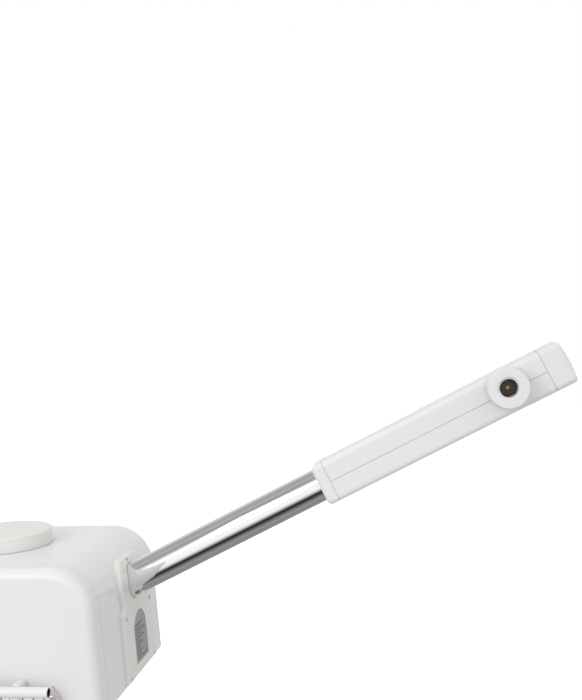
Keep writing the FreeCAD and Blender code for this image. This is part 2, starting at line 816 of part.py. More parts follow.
def label_plate():
    """Bare arched plate in the cover's pocket."""
    inner = cover_stand - label_thick - 0.4
    plate = label_shape(0.4, 0.0)
    return plate.common(lean_layer(inner, inner + label_thick))


# ---------------------------------------------------------------- tube bearing in the head
def tube_bearing():
    """Cast housing on the inside of the side wall that the head turns in."""
    length = tube_in_head - lock_ring_len - slide_gap
    start = entry_in_head - arm_dir * length
    body = cylinder(tube_radius + 7.0, start, arm_dir, length + 20)
    foot = block(Vector(side_x(entry_drop) - 26, tube_set_back - 34, -entry_drop - 34),
                 Vector(side_x(entry_drop) + 10, tube_set_back + 34, -entry_drop + 22))
    foot = foot.cut(block(Vector(side_x(entry_drop) - 27, tube_set_back - 35, -entry_drop - 35),
                          Vector(side_x(entry_drop) - 12, tube_set_back + 35, -entry_drop + 23)))
    housing = fuse([body, foot])
    housing = housing.common(head_prism(shell_wall, 1, rear_depth - shell_wall))
    housing = housing.cut(head_tube_bore(bearing_liner_wall))
    for cut in bearing_bolt_shapes(0.02):
        housing = housing.cut(cut)
    for cut in cover_screw_cuts(0.02):
        housing = housing.cut(cut)
    return housing


def bearing_liner():
    """Bronze liner between the housing and the tube."""
    length = tube_in_head - lock_ring_len - slide_gap
    start = entry_in_head - arm_dir * length
    liner = tube(tube_radius + bearing_liner_wall, tube_radius + running, start, arm_dir, length - liner_short)
    return liner


def bearing_bolt_shapes(grow=0.0):
    """Four short bolts through the housing's foot, from inside."""
    bolts = []
    x_seat = side_x(entry_drop) - 12
    for dy in (-bearing_bolt_reach, bearing_bolt_reach):
        for dz in (-bearing_bolt_reach, 14.0):
            start = Vector(x_seat - 2.4, tube_set_back + dy, -entry_drop + dz)
            head = cylinder(3.6 + grow, start, X_AXIS, 2.4)
            shank = cylinder(1.9 + grow, start, X_AXIS, 8.0)
            bolts.append(fuse([head, shank]))
    return bolts


def bearing_bolts():
    """The bolts of the tube's bearing."""
    return Part.makeCompound(bearing_bolt_shapes())


# ---------------------------------------------------------------- intake cap
def intake_cap():
    """Turning cap over the air intake, hollow below, with its pin."""
    z0 = slide_gap
    centre = Vector(0, cap_set_back, z0)
    cap = cylinder(cap_radius, centre, Z_AXIS, cap_height - z0)
    cap = round_edges(cap, cap_edge, lambda edge: edge_middle(edge).z > cap_height - 1e-6
                      and edge.Length > 50)
    hollow = cylinder(cap_radius - cap_wall, centre - Z_AXIS, Z_AXIS, cap_height - z0 - cap_wall + 1)
    cap = cap.cut(hollow)
    pin = cylinder(cap_pin_radius, Vector(0, cap_set_back, -cap_pin_len), Z_AXIS,
                   cap_pin_len + cap_height - 1)
    return fuse([cap, pin])


def cap_clip():
    """Clip on the cap's pin, under the casing's top."""
    start = Vector(0, cap_set_back, -shell_wall - slide_gap - 2.0)
    return tube(cap_pin_radius + 4.0, cap_pin_radius, start, Z_AXIS, 2.0)


# ---------------------------------------------------------------- fan and heater
def fan_duct():
    """Round duct that stands on the base plate and carries motor and heater."""
    z0 = -head_height + base_thick
    height = head_height - base_thick - duct_top_drop
    duct = tube(duct_radius, duct_radius - duct_wall, Vector(0, cap_set_back, z0), Z_AXIS, height)
    return duct


def motor_z():
    """Height of the motor's top."""
    return -impeller_drop - impeller_height - 3.0


def motor_bracket():
    """Cross that holds the motor in the duct."""
    z = motor_z() - motor_height - spoke_thick
    length = duct_radius - duct_wall
    spokes = []
    for angle in (0, 90, 180, 270):
        spoke = block(Vector(0, -spoke_width / 2, z), Vector(length, spoke_width / 2, z + spoke_thick))
        spoke = spoke.common(cylinder(length, Vector(0, 0, z - 1), Z_AXIS, spoke_thick + 2))
        spoke.Placement = FreeCAD.Placement(Vector(0, cap_set_back, 0), FreeCAD.Rotation(Z_AXIS, angle))
        spokes.append(spoke)
    plate = cylinder(motor_radius, Vector(0, cap_set_back, z), Z_AXIS, spoke_thick)
    return fuse(spokes + [plate])


def fan_motor():
    """The motor's can, with the bore its shaft turns in."""
    z = motor_z() - motor_height
    body = cylinder(motor_radius, Vector(0, cap_set_back, z), Z_AXIS, motor_height)
    return body.cut(cylinder(motor_shaft_radius + running, Vector(0, cap_set_back, z + 4), Z_AXIS,
                             motor_height))


def impeller():
    """Fan wheel with its shaft."""
    top = -impeller_drop
    bottom = top - impeller_height
    plate = cylinder(impeller_radius, Vector(0, cap_set_back, bottom), Z_AXIS, 2.0)
    hub = cylinder(7.0, Vector(0, cap_set_back, bottom), Z_AXIS, impeller_height)
    shaft = cylinder(motor_shaft_radius, Vector(0, cap_set_back, bottom - motor_height + 2), Z_AXIS,
                     motor_height)
    blades = []
    for index in range(impeller_blades):
        blade = block(Vector(5.0, -blade_thick / 2, bottom), Vector(impeller_radius - 1, blade_thick / 2, top))
        turn = FreeCAD.Rotation(Z_AXIS, index * 360 / impeller_blades)
        blade.Placement = FreeCAD.Placement(Vector(0, cap_set_back, 0), turn)
        blades.append(blade)
    return fuse([plate, hub, shaft] + blades)


def heater_frame():
    """Mica cross and ring that carry the heating wire."""
    z0 = -heater_drop - heater_height
    reach_out = duct_radius - duct_wall
    sheets = []
    for angle in (0, 90):
        sheet = block(Vector(-reach_out, -mica_thick / 2, z0), Vector(reach_out, mica_thick / 2, z0 + heater_height))
        sheet.Placement = FreeCAD.Placement(Vector(0, cap_set_back, 0), FreeCAD.Rotation(Z_AXIS, angle + 45))
        sheets.append(sheet)
    frame = fuse(sheets)
    frame = frame.common(cylinder(reach_out, Vector(0, cap_set_back, z0 - 1), Z_AXIS, heater_height + 2))
    for ring in heater_rings(0.05):
        frame = frame.cut(ring)
    return frame


def heater_rings(grow=0.0):
    """Heating wire rings, one under the other."""
    rings = []
    for index in range(coil_rings):
        z = -heater_drop - heater_height * (index + 1) / (coil_rings + 1)
        radius = heater_radius - 8.0 - 8.0 * (index % 2)
        rings.append(Part.makeTorus(radius, coil_wire + grow, Vector(0, cap_set_back, z), Z_AXIS))
    return rings


def heater_coil():
    """The heating wire."""
    return Part.makeCompound(heater_rings())


def thermostat():
    """Round cut-out on the duct's outer wall."""
    start = Vector(0, cap_set_back - duct_radius, -heater_drop)
    body = cylinder(8.0, start + Vector(0, 3.0, 0), -Y_AXIS, 11.0)
    return body.cut(cylinder(duct_radius, Vector(0, cap_set_back, -head_height), Z_AXIS, head_height))


# ---------------------------------------------------------------- hood
def hood_plan(half, y_front, y_rear, z):
    """U-shaped outline of the hood: straight sides and a half round back."""
    spring = y_rear - half
    right_front = Vector(half, y_front, z)
    right_back = Vector(half, spring, z)
    left_front = Vector(-half, y_front, z)
    left_back = Vector(-half, spring, z)
    edges = [
        Part.LineSegment(left_front, right_front).toShape(),
        Part.LineSegment(right_front, right_back).toShape(),
        Part.Arc(right_back, Vector(0, y_rear, z), left_back).toShape(),
        Part.LineSegment(left_back, left_front).toShape(),
    ]
    return Part.Wire(edges)


def hood_body(inset, z_top, z_bottom, front_extra):
    """Flared block with the hood's plan, shrunk by inset."""
    def section(z):
        share = (-head_height - z) / hood_depth
        half = hood_top_half + hood_flare * share - inset
        rear = rear_depth - hood_rear_gap + hood_flare * share - inset
        return hood_plan(half, -hood_front_inset - front_extra, rear, z)
    return Part.makeLoft([section(z_top), section(z_bottom)], True, True)


def hood_shell():
    """The hood: a flared wall round the back and sides of the head, open in front and below."""
    top = -head_height
    bottom = top - hood_depth
    outer = hood_body(0, top, bottom, 0)
    inner = hood_body(hood_wall, top + 1, bottom - 1, 1)
    wall = outer.cut(inner)
    flange = hood_body(0, top, top - hood_wall, 0).cut(hood_body(hood_flange, top + 1, top - hood_wall - 1, 1))
    return fuse([wall, flange])


def hood_rim():
    """Soft strip clipped over the hood's lower edge."""
    bottom = -head_height - hood_depth
    outer = hood_body(-rim_wall, bottom + rim_height, bottom - rim_wall, 0)
    inner = hood_body(hood_wall + rim_wall, bottom + rim_height + 1, bottom - rim_wall - 1, 1)
    slot = hood_body(-fit_gap, bottom + rim_height + 1, bottom - 0.01, 1)
    slot = slot.cut(hood_body(hood_wall + fit_gap, bottom + rim_height + 2, bottom - rim_wall - 1, 2))
    return outer.cut(inner).cut(slot)


def air_diffuser():
    """Perforated plate under the air outlet."""
    top = -head_height
    plate = cylinder(diffuser_radius, Vector(0, cap_set_back, top - diffuser_thick), Z_AXIS, diffuser_thick)
    holes = []
    for count, radius in ((6, 16.0), (12, 30.0), (18, 44.0)):
        for index in range(count):
            angle = 2 * math.pi * index / count
            spot = Vector(radius * math.cos(angle), cap_set_back + radius * math.sin(angle),
                          top - diffuser_thick - 1)
            holes.append(cylinder(diffuser_hole / 2, spot, Z_AXIS, diffuser_thick + 2))
    return plate.cut(Part.makeCompound(holes))


# ---------------------------------------------------------------- visor
def hinge_posts():
    """Two round-topped posts on the front, each with a cradle that the hinge tube snaps into."""
    posts = []
    reach_front = hinge_y - rail_thick / 2
    for offset in (-post_offset, post_offset):
        foot = Vector(offset, face_y, -hinge_drop)
        body = block(Vector(offset - post_half_width, reach_front, -hinge_drop - cradle_depth),
                     Vector(offset + post_half_width, face_y, -hinge_drop + post_crown))
        crown = cylinder(post_half_width, foot + Z_AXIS * post_crown, -Y_AXIS, face_y - reach_front)
        screw = cylinder(post_screw_radius - 0.05, foot, Y_AXIS, shell_wall + 3.0)
        solid = fuse([body, crown, screw])
        solid = solid.cut(cylinder(hinge_tube_radius + running,
                                   Vector(offset - 2 * post_half_width, hinge_y, -hinge_drop), X_AXIS,
                                   4 * post_half_width))
        mouth = block(Vector(offset - 2 * post_half_width, reach_front - 1,
                             -hinge_drop - hinge_tube_radius + cradle_lip),
                      Vector(offset + 2 * post_half_width, hinge_y + cradle_back,
                             -hinge_drop + post_crown + 2 * post_half_width))
        posts.append(largest(solid.cut(mouth)))
    return posts


def hinge_tube():
    """White tube that the visor turns on, open at its ends."""
    return tube(hinge_tube_radius, hinge_tube_radius - hinge_tube_wall,
                Vector(-hinge_half_len, hinge_y, -hinge_drop), X_AXIS, 2 * hinge_half_len)


def post_clearance(grow):
    """Room that the swinging visor leaves round each post."""
    half = post_half_width + grow
    return [cylinder(cradle_depth + 2 * grow, Vector(offset - half, hinge_y, -hinge_drop), X_AXIS, 2 * half)
            for offset in (-post_offset, post_offset)]


def visor_rail():
    """Slotted rail under the hinge tube that grips it and the shield."""
    top = -hinge_drop
    bottom = top - hinge_tube_radius - rail_height
    rail = block(Vector(-hinge_half_len, hinge_y - rail_thick / 2, bottom),
                 Vector(hinge_half_len, hinge_y + rail_thick / 2, top))
    rail = rail.cut(cylinder(hinge_tube_radius, Vector(-hinge_half_len - 1, hinge_y, top), X_AXIS,
                             2 * hinge_half_len + 2))
    slots = int((hinge_half_len - rail_slot_edge) / rail_slot_pitch - 0.5)
    slot_top = top - hinge_tube_radius + 1.0
    for index in range(-slots - 1, slots + 1):
        x = (index + 0.5) * rail_slot_pitch
        rail = rail.cut(block(Vector(x - rail_slot_width / 2, hinge_y - rail_thick, slot_top - rail_slot_height - 1.0),
                              Vector(x + rail_slot_width / 2, hinge_y + rail_thick, slot_top)))
    for cut in post_clearance(slide_gap + 0.4):
        rail = rail.cut(cut)
    for x in visor_screw_places():
        rail = rail.cut(visor_screw(x, 0.02))
    return largest(rail)


def largest(shape):
    """The biggest solid of a cut shape."""
    return max(shape.Solids, key=lambda solid: solid.Volume)


def visor_screw_places():
    """Positions of the visor's screws, between the slots."""
    return [index * rail_slot_pitch for index in (-8, -5, -2, 2, 5, 8)]


def visor_screw_z():
    """Height of the row of visor screws."""
    return -hinge_drop - hinge_tube_radius - rail_height + 3.2


def visor_screw(x, grow=0.0):
    """A small screw through rail and shield."""
    front = hinge_y - rail_thick / 2
    z = visor_screw_z()
    head = cylinder(visor_screw_radius + 0.8 + grow, Vector(x, front - 1.0, z), Y_AXIS, 1.0)
    shank = cylinder(visor_screw_radius * 0.6 + grow, Vector(x, front - 0.5, z), Y_AXIS,
                     rail_thick + shield_thick + 2.0)
    return fuse([head, shank])


def visor_screws():
    """The screws of the visor."""
    return Part.makeCompound([visor_screw(x) for x in visor_screw_places()])


def visor_shield():
    """Clear bowed shield, wider below, hung behind the rail."""
    y_front = hinge_y + rail_thick / 2
    half = shield_flare_half
    radius = (half * half + shield_bow * shield_bow) / (2 * shield_bow)
    top = -hinge_drop + 3.0
    bottom = -hinge_drop - shield_depth
    centre = Vector(0, y_front + radius, bottom)
    sheet = tube(radius, radius - shield_thick, centre, Z_AXIS, top - bottom)
    ear = hinge_half_len + shield_ear
    outline = prism([Vector(-hinge_half_len - 1, -500, top), Vector(-ear, -500, top - 10),
                     Vector(-half, -500, -hinge_drop - shield_flare_drop), Vector(-half, -500, bottom),
                     Vector(half, -500, bottom), Vector(half, -500, -hinge_drop - shield_flare_drop),
                     Vector(ear, -500, top - 10), Vector(hinge_half_len + 1, -500, top)],
                    Vector(0, 500 + y_front + shield_bow + 10, 0))

    def across(edge):
        return abs(edge.firstVertex().Z - edge.lastVertex().Z) < 1e-6 and edge.Length > 400

    outline = round_edges(outline, shield_corner, lambda edge: across(edge)
                          and edge_middle(edge).z < -hinge_drop - shield_flare_drop + 1)
    sheet = sheet.common(outline)
    window = block(Vector(-hinge_half_len - 0.5, -500, -hinge_drop - hinge_tube_radius - 2.0),
                   Vector(hinge_half_len + 0.5, 500, top + 1))
    sheet = sheet.cut(window)
    for cut in post_clearance(slide_gap + 1.0):
        sheet = sheet.cut(cut)
    for x in visor_screw_places():
        sheet = sheet.cut(visor_screw(x, 0.02))
    return largest(sheet)


# ---------------------------------------------------------------- controls
def knob(offset):
    """Fluted knob with a pointer groove and its stem."""
    base = face_y - knob_gap
    body = Part.makeCone(knob_radius, knob_radius - 2.0, knob_height, Vector(offset, base, -knob_drop), -Y_AXIS)
    body = round_edges(body, 1.5, lambda edge: abs(edge_middle(edge).y - (base - knob_height)) < 1e-6
                       and edge.Length > 20)
    flutes = []
    for index in range(16):
        angle = 2 * math.pi * index / 16
        spot = Vector(offset + (knob_radius + 0.6) * math.cos(angle), base + 1,
                      -knob_drop + (knob_radius + 0.6) * math.sin(angle))
        flutes.append(cylinder(1.6, spot, -Y_AXIS, knob_height - 3))
    body = body.cut(Part.makeCompound(flutes))
    pointer = block(Vector(offset - 0.7, base - knob_height - 1, -knob_drop + 3),
                    Vector(offset + 0.7, base - knob_height + 0.8, -knob_drop + knob_radius))
    stem = cylinder(knob_stem_radius, Vector(offset, base - 1, -knob_drop), Y_AXIS, knob_stem_len)
    return fuse([body.cut(pointer), stem])


def control_unit(offset):
    """Switch or timer case behind the front, with the bush that the stem turns in."""
    back = face_y + shell_wall
    case = block(Vector(offset - unit_width / 2, back, -knob_drop - unit_width / 2),
                 Vector(offset + unit_width / 2, back + unit_depth, -knob_drop + unit_width / 2))
    bush = cylinder(unit_bush_radius, Vector(offset, face_y, -knob_drop), Y_AXIS, shell_wall)
    unit = fuse([case, bush])
    return unit.cut(cylinder(knob_stem_radius + running, Vector(offset, face_y - 1, -knob_drop), Y_AXIS,
                             knob_stem_len + 2))


def rocker_opening():
    """Hole in the front for the rocker switch."""
    return rocker_box(rocker_width / 2 + rocker_frame, rocker_height / 2 + rocker_frame,
                      face_y - 2, face_y + shell_wall + 2, fit_gap)


def rocker_box(half_x, half_z, y0, y1, grow=0.0):
    """A block centred on the rocker switch."""
    return block(Vector(rocker_offset - half_x - grow, y0, -knob_drop - half_z - grow),
                 Vector(rocker_offset + half_x + grow, y1, -knob_drop + half_z + grow))


def rocker_housing():
    """Frame and case of the rocker switch."""
    half_x = rocker_width / 2
    half_z = rocker_height / 2
    frame = rocker_box(half_x + rocker_frame, half_z + rocker_frame, face_y, face_y + 22)
    rim = rocker_box(half_x + rocker_frame + 1.5, half_z + rocker_frame + 1.5, face_y - 1.5, face_y)
    housing = fuse([frame, rim])
    housing = housing.cut(rocker_box(half_x + slide_gap, half_z + slide_gap + 0.6, face_y - 2, face_y + 14))
    bore = cylinder(rocker_pin_radius + running, Vector(rocker_offset - half_x - 2.5, face_y + 5, -knob_drop),
                    X_AXIS, rocker_width + 5)
    return housing.cut(bore)


def power_rocker():
    """The rocker itself, with its pivot pin."""
    half_x = rocker_width / 2
    half_z = rocker_height / 2
    outline = [Vector(rocker_offset - half_x, face_y + 9, -knob_drop - half_z * 0.55),
               Vector(rocker_offset - half_x, face_y - 0.5, -knob_drop - half_z),
               Vector(rocker_offset - half_x, face_y - rocker_stand, -knob_drop - half_z),
               Vector(rocker_offset - half_x, face_y - 0.3, -knob_drop),
               Vector(rocker_offset - half_x, face_y - rocker_stand, -knob_drop + half_z),
               Vector(rocker_offset - half_x, face_y - 0.5, -knob_drop + half_z),
               Vector(rocker_offset - half_x, face_y + 9, -knob_drop + half_z * 0.55)]
    body = prism(outline, Vector(rocker_width, 0, 0))
    pin = cylinder(rocker_pin_radius, Vector(rocker_offset - half_x - 2.2, face_y + 5, -knob_drop), X_AXIS,
                   rocker_width + 4.4)
    return fuse([body, pin])


# ---------------------------------------------------------------- mains entry
def gland_hole():
    """Hole in the casing's back for the cable gland."""
    return cylinder(gland_thread_radius + fit_gap, Vector(gland_offset, rear_depth - 10, -gland_drop),
                    Y_AXIS, 20)


def cable_gland():
    """Cable gland on the back of the head, with its open bore."""
    start = Vector(gland_offset, rear_depth, -gland_drop)
    nut = Part.makeCone(gland_radius, gland_radius - 2.5, gland_stand, start, Y_AXIS)
    thread = cylinder(gland_thread_radius, start - Y_AXIS * 12, Y_AXIS, 12)
    gland = fuse([nut, thread])
    return gland.cut(cylinder(gland_bore, start - Y_AXIS * 13, Y_AXIS, gland_stand + 14))


def gland_nut():
    """Lock nut of the gland, inside the casing."""
    start = Vector(gland_offset, rear_depth - shell_wall - 4.0, -gland_drop)
    return tube(gland_radius + 1.0, gland_thread_radius, start, Y_AXIS, 4.0)


def terminal_block():
    """Screw terminal block on the base plate."""
    length, depth, height = terminal_size
    z0 = -head_height + base_thick
    body = block(Vector(gland_offset - length / 2, 120.0, z0), Vector(gland_offset + length / 2, 120.0 + depth,
                                                                     z0 + height))
    wells = []
    for index in (-1, 0, 1):
        wells.append(cylinder(2.6, Vector(gland_offset + index * length / 3.4, 120.0 + depth / 2, z0 + height - 8),
                              Z_AXIS, 10))
    return body.cut(Part.makeCompound(wells))


# ================================================================ writing
def arm_nodes():
    """Pieces modelled in the arm's frame."""
    ribs = arm_ribs()
    return {
        "pivot_spindle": pivot_spindle(),
        "retaining_clip": retaining_clip(),
        "disc_spring": disc_spring(),
        "friction_washer": friction_washer(),
        "thrust_washer": thrust_washer(),
        "spindle_plug": spindle_plug(),
        "sleeve_upper_shell": sleeve_shell(True),
        "sleeve_lower_shell": sleeve_shell(False),
        "sleeve_ribs": Part.makeCompound(ribs),
        "sleeve_screws": arm_shell_screws(),
        "nose_collar": nose_collar(),
        "tube_guide": tube_guide(),
        "end_cap": end_cap(),
        "pivot_core": pivot_core(),
        "pivot_bush": pivot_bush(),
        "hub_boss": hub_boss(),
        "extension_tube": extension_tube(),
        "tube_glide": tube_glide(),
        "lock_ring": lock_ring(),
    }


def head_nodes():
    """Pieces modelled in the head's frame."""
    return {
        "front_shell": front_shell(),
        "rear_shell": rear_shell(),
        "base_plate": base_plate(),
        "base_screws": base_screws(),
        "side_cover": side_cover(),
        "cover_screws": cover_screws(),
        "label_plate": label_plate(),
        "tube_bearing": tube_bearing(),
        "bearing_liner": bearing_liner(),
        "bearing_bolts": bearing_bolts(),
        "intake_cap": intake_cap(),
        "cap_clip": cap_clip(),
        "fan_duct": fan_duct(),
        "motor_bracket": motor_bracket(),
        "fan_motor": fan_motor(),
        "impeller": impeller(),
        "heater_frame": heater_frame(),
        "heater_coil": heater_coil(),
        "thermostat": thermostat(),
        "hood_shell": hood_shell(),
        "hood_rim": hood_rim(),
        "air_diffuser": air_diffuser(),
        "hinge_posts": Part.makeCompound(hinge_posts()),
        "hinge_tube": hinge_tube(),
        "visor_rail": visor_rail(),
        "visor_screws": visor_screws(),
        "visor_shield": visor_shield(),
        "timer_knob": knob(timer_offset),
        "heat_knob": knob(heat_offset),
        "timer_unit": control_unit(timer_offset),
        "heat_unit": control_unit(heat_offset),
        "rocker_housing": rocker_housing(),
        "power_rocker": power_rocker(),
        "cable_gland": cable_gland(),
        "gland_nut": gland_nut(),
        "terminal_block": terminal_block(),
    }


def main():
    """Builds every piece and writes its file."""
    os.makedirs("parts", exist_ok=True)
    placed = {name: on_arm(shape) for name, shape in arm_nodes().items()}
    placed.update({name: on_head(shape) for name, shape in head_nodes().items()})
    for name, shape in placed.items():
        shape.exportStep("parts/" + name + ".step")
        print(name, len(shape.Solids), round(shape.Volume), shape.isValid())


if __name__ == "__main__":
    main()
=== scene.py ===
"""Looks of an arm-mounted hood hair dryer: casing, arm, hood, visor, controls and the studio round it."""

import json
import logging
import math
from collections.abc import Iterable, Sequence
from dataclasses import dataclass, field
from enum import Enum

import bmesh
import bpy
import numpy as np
from mathutils import Matrix, Vector

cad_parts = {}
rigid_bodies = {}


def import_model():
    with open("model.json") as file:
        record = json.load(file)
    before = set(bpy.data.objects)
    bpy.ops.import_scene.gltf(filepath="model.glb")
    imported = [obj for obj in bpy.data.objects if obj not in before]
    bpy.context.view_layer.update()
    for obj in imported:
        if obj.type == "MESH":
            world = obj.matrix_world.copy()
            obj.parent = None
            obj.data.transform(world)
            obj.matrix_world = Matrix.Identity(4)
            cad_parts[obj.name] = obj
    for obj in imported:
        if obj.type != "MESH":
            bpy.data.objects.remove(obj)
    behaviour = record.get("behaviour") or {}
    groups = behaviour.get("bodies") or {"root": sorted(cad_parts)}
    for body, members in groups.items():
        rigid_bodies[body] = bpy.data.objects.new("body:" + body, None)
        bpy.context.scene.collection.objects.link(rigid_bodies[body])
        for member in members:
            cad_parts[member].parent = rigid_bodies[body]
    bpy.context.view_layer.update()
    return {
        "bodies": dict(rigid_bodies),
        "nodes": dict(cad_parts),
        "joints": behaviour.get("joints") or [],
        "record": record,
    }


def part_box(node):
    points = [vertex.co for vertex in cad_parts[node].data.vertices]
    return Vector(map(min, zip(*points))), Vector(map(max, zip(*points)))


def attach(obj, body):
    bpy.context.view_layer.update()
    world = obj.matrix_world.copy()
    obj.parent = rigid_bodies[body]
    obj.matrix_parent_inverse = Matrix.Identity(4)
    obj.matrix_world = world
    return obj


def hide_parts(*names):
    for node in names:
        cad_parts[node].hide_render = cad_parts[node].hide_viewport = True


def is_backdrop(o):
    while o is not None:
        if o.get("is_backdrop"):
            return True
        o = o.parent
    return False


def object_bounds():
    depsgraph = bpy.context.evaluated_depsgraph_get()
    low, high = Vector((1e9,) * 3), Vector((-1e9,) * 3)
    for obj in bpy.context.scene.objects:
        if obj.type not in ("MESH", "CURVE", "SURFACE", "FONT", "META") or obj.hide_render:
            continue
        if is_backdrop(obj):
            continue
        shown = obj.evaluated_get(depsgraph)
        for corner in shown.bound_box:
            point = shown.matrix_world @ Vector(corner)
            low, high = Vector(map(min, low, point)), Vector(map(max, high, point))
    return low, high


log = logging.getLogger("dryer")

Colour = tuple[float, float, float]
Array = np.ndarray
MM = 0.001
SHARP_ANGLE = math.radians(32)
WELD = 1e-7                # points nearer than this are one
TOUCH = 1e-5               # points nearer than this lie at one level


# ---------------------------------------------------------------- surfaces
@dataclass
class Surface:
    """A mesh as arrays: points (n, 3) in metres and quads (m, 4)."""

    points: Array
    faces: Array

    def outward(self) -> "Surface":
        """The same closed surface with its faces turned outwards, by the sign of its volume."""
        a, b, c, d = (self.points[self.faces[:, k]] for k in range(4))
        volume = np.einsum("ij,ij->i", a, np.cross(b, c)).sum()
        volume += np.einsum("ij,ij->i", a, np.cross(c, d)).sum()
        return self if volume > 0 else Surface(self.points, self.faces[:, ::-1])


def join(parts: Iterable[Surface]) -> Surface:
    """Several surfaces as one, with the face numbers moved on."""
    points, faces, start = [], [], 0
    for part in parts:
        points.append(part.points)
        faces.append(part.faces + start)
        start += len(part.points)
    return Surface(np.concatenate(points), np.concatenate(faces))


def grid(points: Array, wrap_rows: bool = False, wrap_cols: bool = False) -> Surface:
    """Quads over a grid of points: corner (i, j) joins (i, j+1), (i+1, j+1) and (i+1, j).

    Args:
        points: array (rows, cols, 3).
        wrap_rows: the last row joins the first.
        wrap_cols: the last column joins the first.

    Returns:
        The surface.
    """
    rows, cols = points.shape[:2]
    i, j = np.meshgrid(np.arange(rows if wrap_rows else rows - 1),
                       np.arange(cols if wrap_cols else cols - 1), indexing="ij")
    down, right = (i + 1) % rows, (j + 1) % cols
    quads = np.stack([i * cols + j, i * cols + right, down * cols + right, down * cols + j], -1)
    return Surface(points.reshape(-1, 3), quads.reshape(-1, 4))


def basis(axis: Array) -> tuple[Array, Array, Array]:
    """A unit axis and two unit directions square to it and to each other."""
    axis = axis / np.linalg.norm(axis)
    helper = np.array([0.0, 0.0, 1.0]) if abs(axis[2]) < 0.9 else np.array([0.0, 1.0, 0.0])
    side = np.cross(axis, helper)
    side /= np.linalg.norm(side)
    return axis, side, np.cross(axis, side)


def revolve(profile: Array, origin: Array, axis: Array, segments: int) -> Surface:
    """A closed profile of (radius, height) turned once round an axis.

    Point = origin + height times axis + radius times (cosine side + sine up).
    """
    axis, side, up = basis(axis)
    angle = np.linspace(0, 2 * math.pi, segments, endpoint=False)
    ring = np.cos(angle)[:, None] * side + np.sin(angle)[:, None] * up
    points = origin + profile[None, :, 1, None] * axis + profile[None, :, 0, None] * ring[:, None, :]
    return grid(points, wrap_rows=True, wrap_cols=True).outward()


def carry(path: Array, section: Array, closed: bool = False) -> Surface:
    """A section of (side, up) offsets carried along a path, each copy square to the path.

    The side direction is handed from point to point with no twist: each one is the last, made square to
    the path's new direction.
    """
    step = np.roll(path, -1, 0) - np.roll(path, 1, 0)
    if not closed:
        step[0], step[-1] = path[1] - path[0], path[-1] - path[-2]
    step /= np.linalg.norm(step, axis=1, keepdims=True)
    sides = np.zeros_like(path)
    sides[0] = basis(step[0])[1]
    for k in range(1, len(path)):
        side = sides[k - 1] - step[k] * (sides[k - 1] @ step[k])
        sides[k] = side / np.linalg.norm(side)
    ups = np.cross(step, sides)
    points = (path[:, None] + section[None, :, 0, None] * sides[:, None]
              + section[None, :, 1, None] * ups[:, None])
    return grid(points, wrap_rows=closed, wrap_cols=True)


def circle(radius: float, count: int) -> Array:
    """Points (count, 2) round a circle."""
    angle = np.linspace(0, 2 * math.pi, count, endpoint=False)
    return radius * np.stack([np.cos(angle), np.sin(angle)], -1)


def bars(starts: Array, ends: Array, width: float, thick: float, normal: Array) -> Surface:
    """Flat raised bars on a face, one from each start to its end.

    Corner = start or end, plus or minus half the width across, plus nothing or the thickness out.

    Args:
        starts, ends: arrays (n, 3) on the face.
        width: across the bar.
        thick: how far it stands off the face.
        normal: unit direction out of the face.

    Returns:
        All the bars as one surface.
    """
    along = (ends - starts) / np.linalg.norm(ends - starts, axis=1, keepdims=True)
    across = np.cross(normal, along) * width / 2
    low = np.stack([starts - across, starts + across, ends + across, ends - across], 1)
    corners = np.concatenate([low, low + normal * thick], 1)
    box = np.array([[0, 3, 2, 1], [4, 5, 6, 7], [0, 1, 5, 4], [1, 2, 6, 5], [2, 3, 7, 6], [3, 0, 4, 7]])
    faces = box[None] + 8 * np.arange(len(starts))[:, None, None]
    return Surface(corners.reshape(-1, 3), faces.reshape(-1, 4)).outward()


def soft_step(value: Array, edge: float, soft: float) -> Array:
    """One inside the edge, nothing beyond it, with a straight slope of the given width between."""
    return np.clip((edge - value) / soft, 0.0, 1.0)


def islands(mesh: bpy.types.Mesh) -> list[Array]:
    """The points of each separate closed shell of a mesh, as arrays (n, 3).

    Points that share a place are one point; each triangle hands its lowest label to its corners
    until nothing changes.
    """
    flat = np.zeros(len(mesh.vertices) * 3)
    mesh.vertices.foreach_get("co", flat)
    points, number = np.unique(np.round(flat.reshape(-1, 3), 6), axis=0, return_inverse=True)
    mesh.calc_loop_triangles()
    corner = np.zeros(len(mesh.loop_triangles) * 3, int)
    mesh.loop_triangles.foreach_get("vertices", corner)
    triangle = number.reshape(-1)[corner].reshape(-1, 3)
    label = np.arange(len(points))
    while True:
        before = label.copy()
        np.minimum.at(label, triangle.ravel(), np.repeat(label[triangle].min(1), 3))
        if (before == label).all():
            return [points[label == one] for one in np.unique(label)]


def turning_axis(points: Array) -> Array:
    """The axis of a turned part: the main direction whose spread differs most from the other two."""
    spread, directions = np.linalg.eigh(np.cov((points - points.mean(0)).T))
    odd = 2 if spread[2] - spread[1] > spread[1] - spread[0] else 0
    return directions[:, odd]


def make_piece(name: str, surface: Surface, body: str) -> bpy.types.Object:
    """Puts a surface into a mesh object that rides on a body, with smooth faces and sharp creases."""
    mesh = bpy.data.meshes.new(name)
    mesh.from_pydata(surface.points.tolist(), [], surface.faces.tolist())
    work = bmesh.new()
    work.from_mesh(mesh)
    bmesh.ops.remove_doubles(work, verts=work.verts, dist=WELD)
    work.to_mesh(mesh)
    work.free()
    mesh.shade_smooth()
    mesh.set_sharp_from_angle(angle=SHARP_ANGLE)
    piece = bpy.data.objects.new(name, mesh)
    bpy.context.scene.collection.objects.link(piece)
    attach(piece, body)
    log.info("%s: %d faces on %s", name, len(mesh.polygons), body)
    return piece


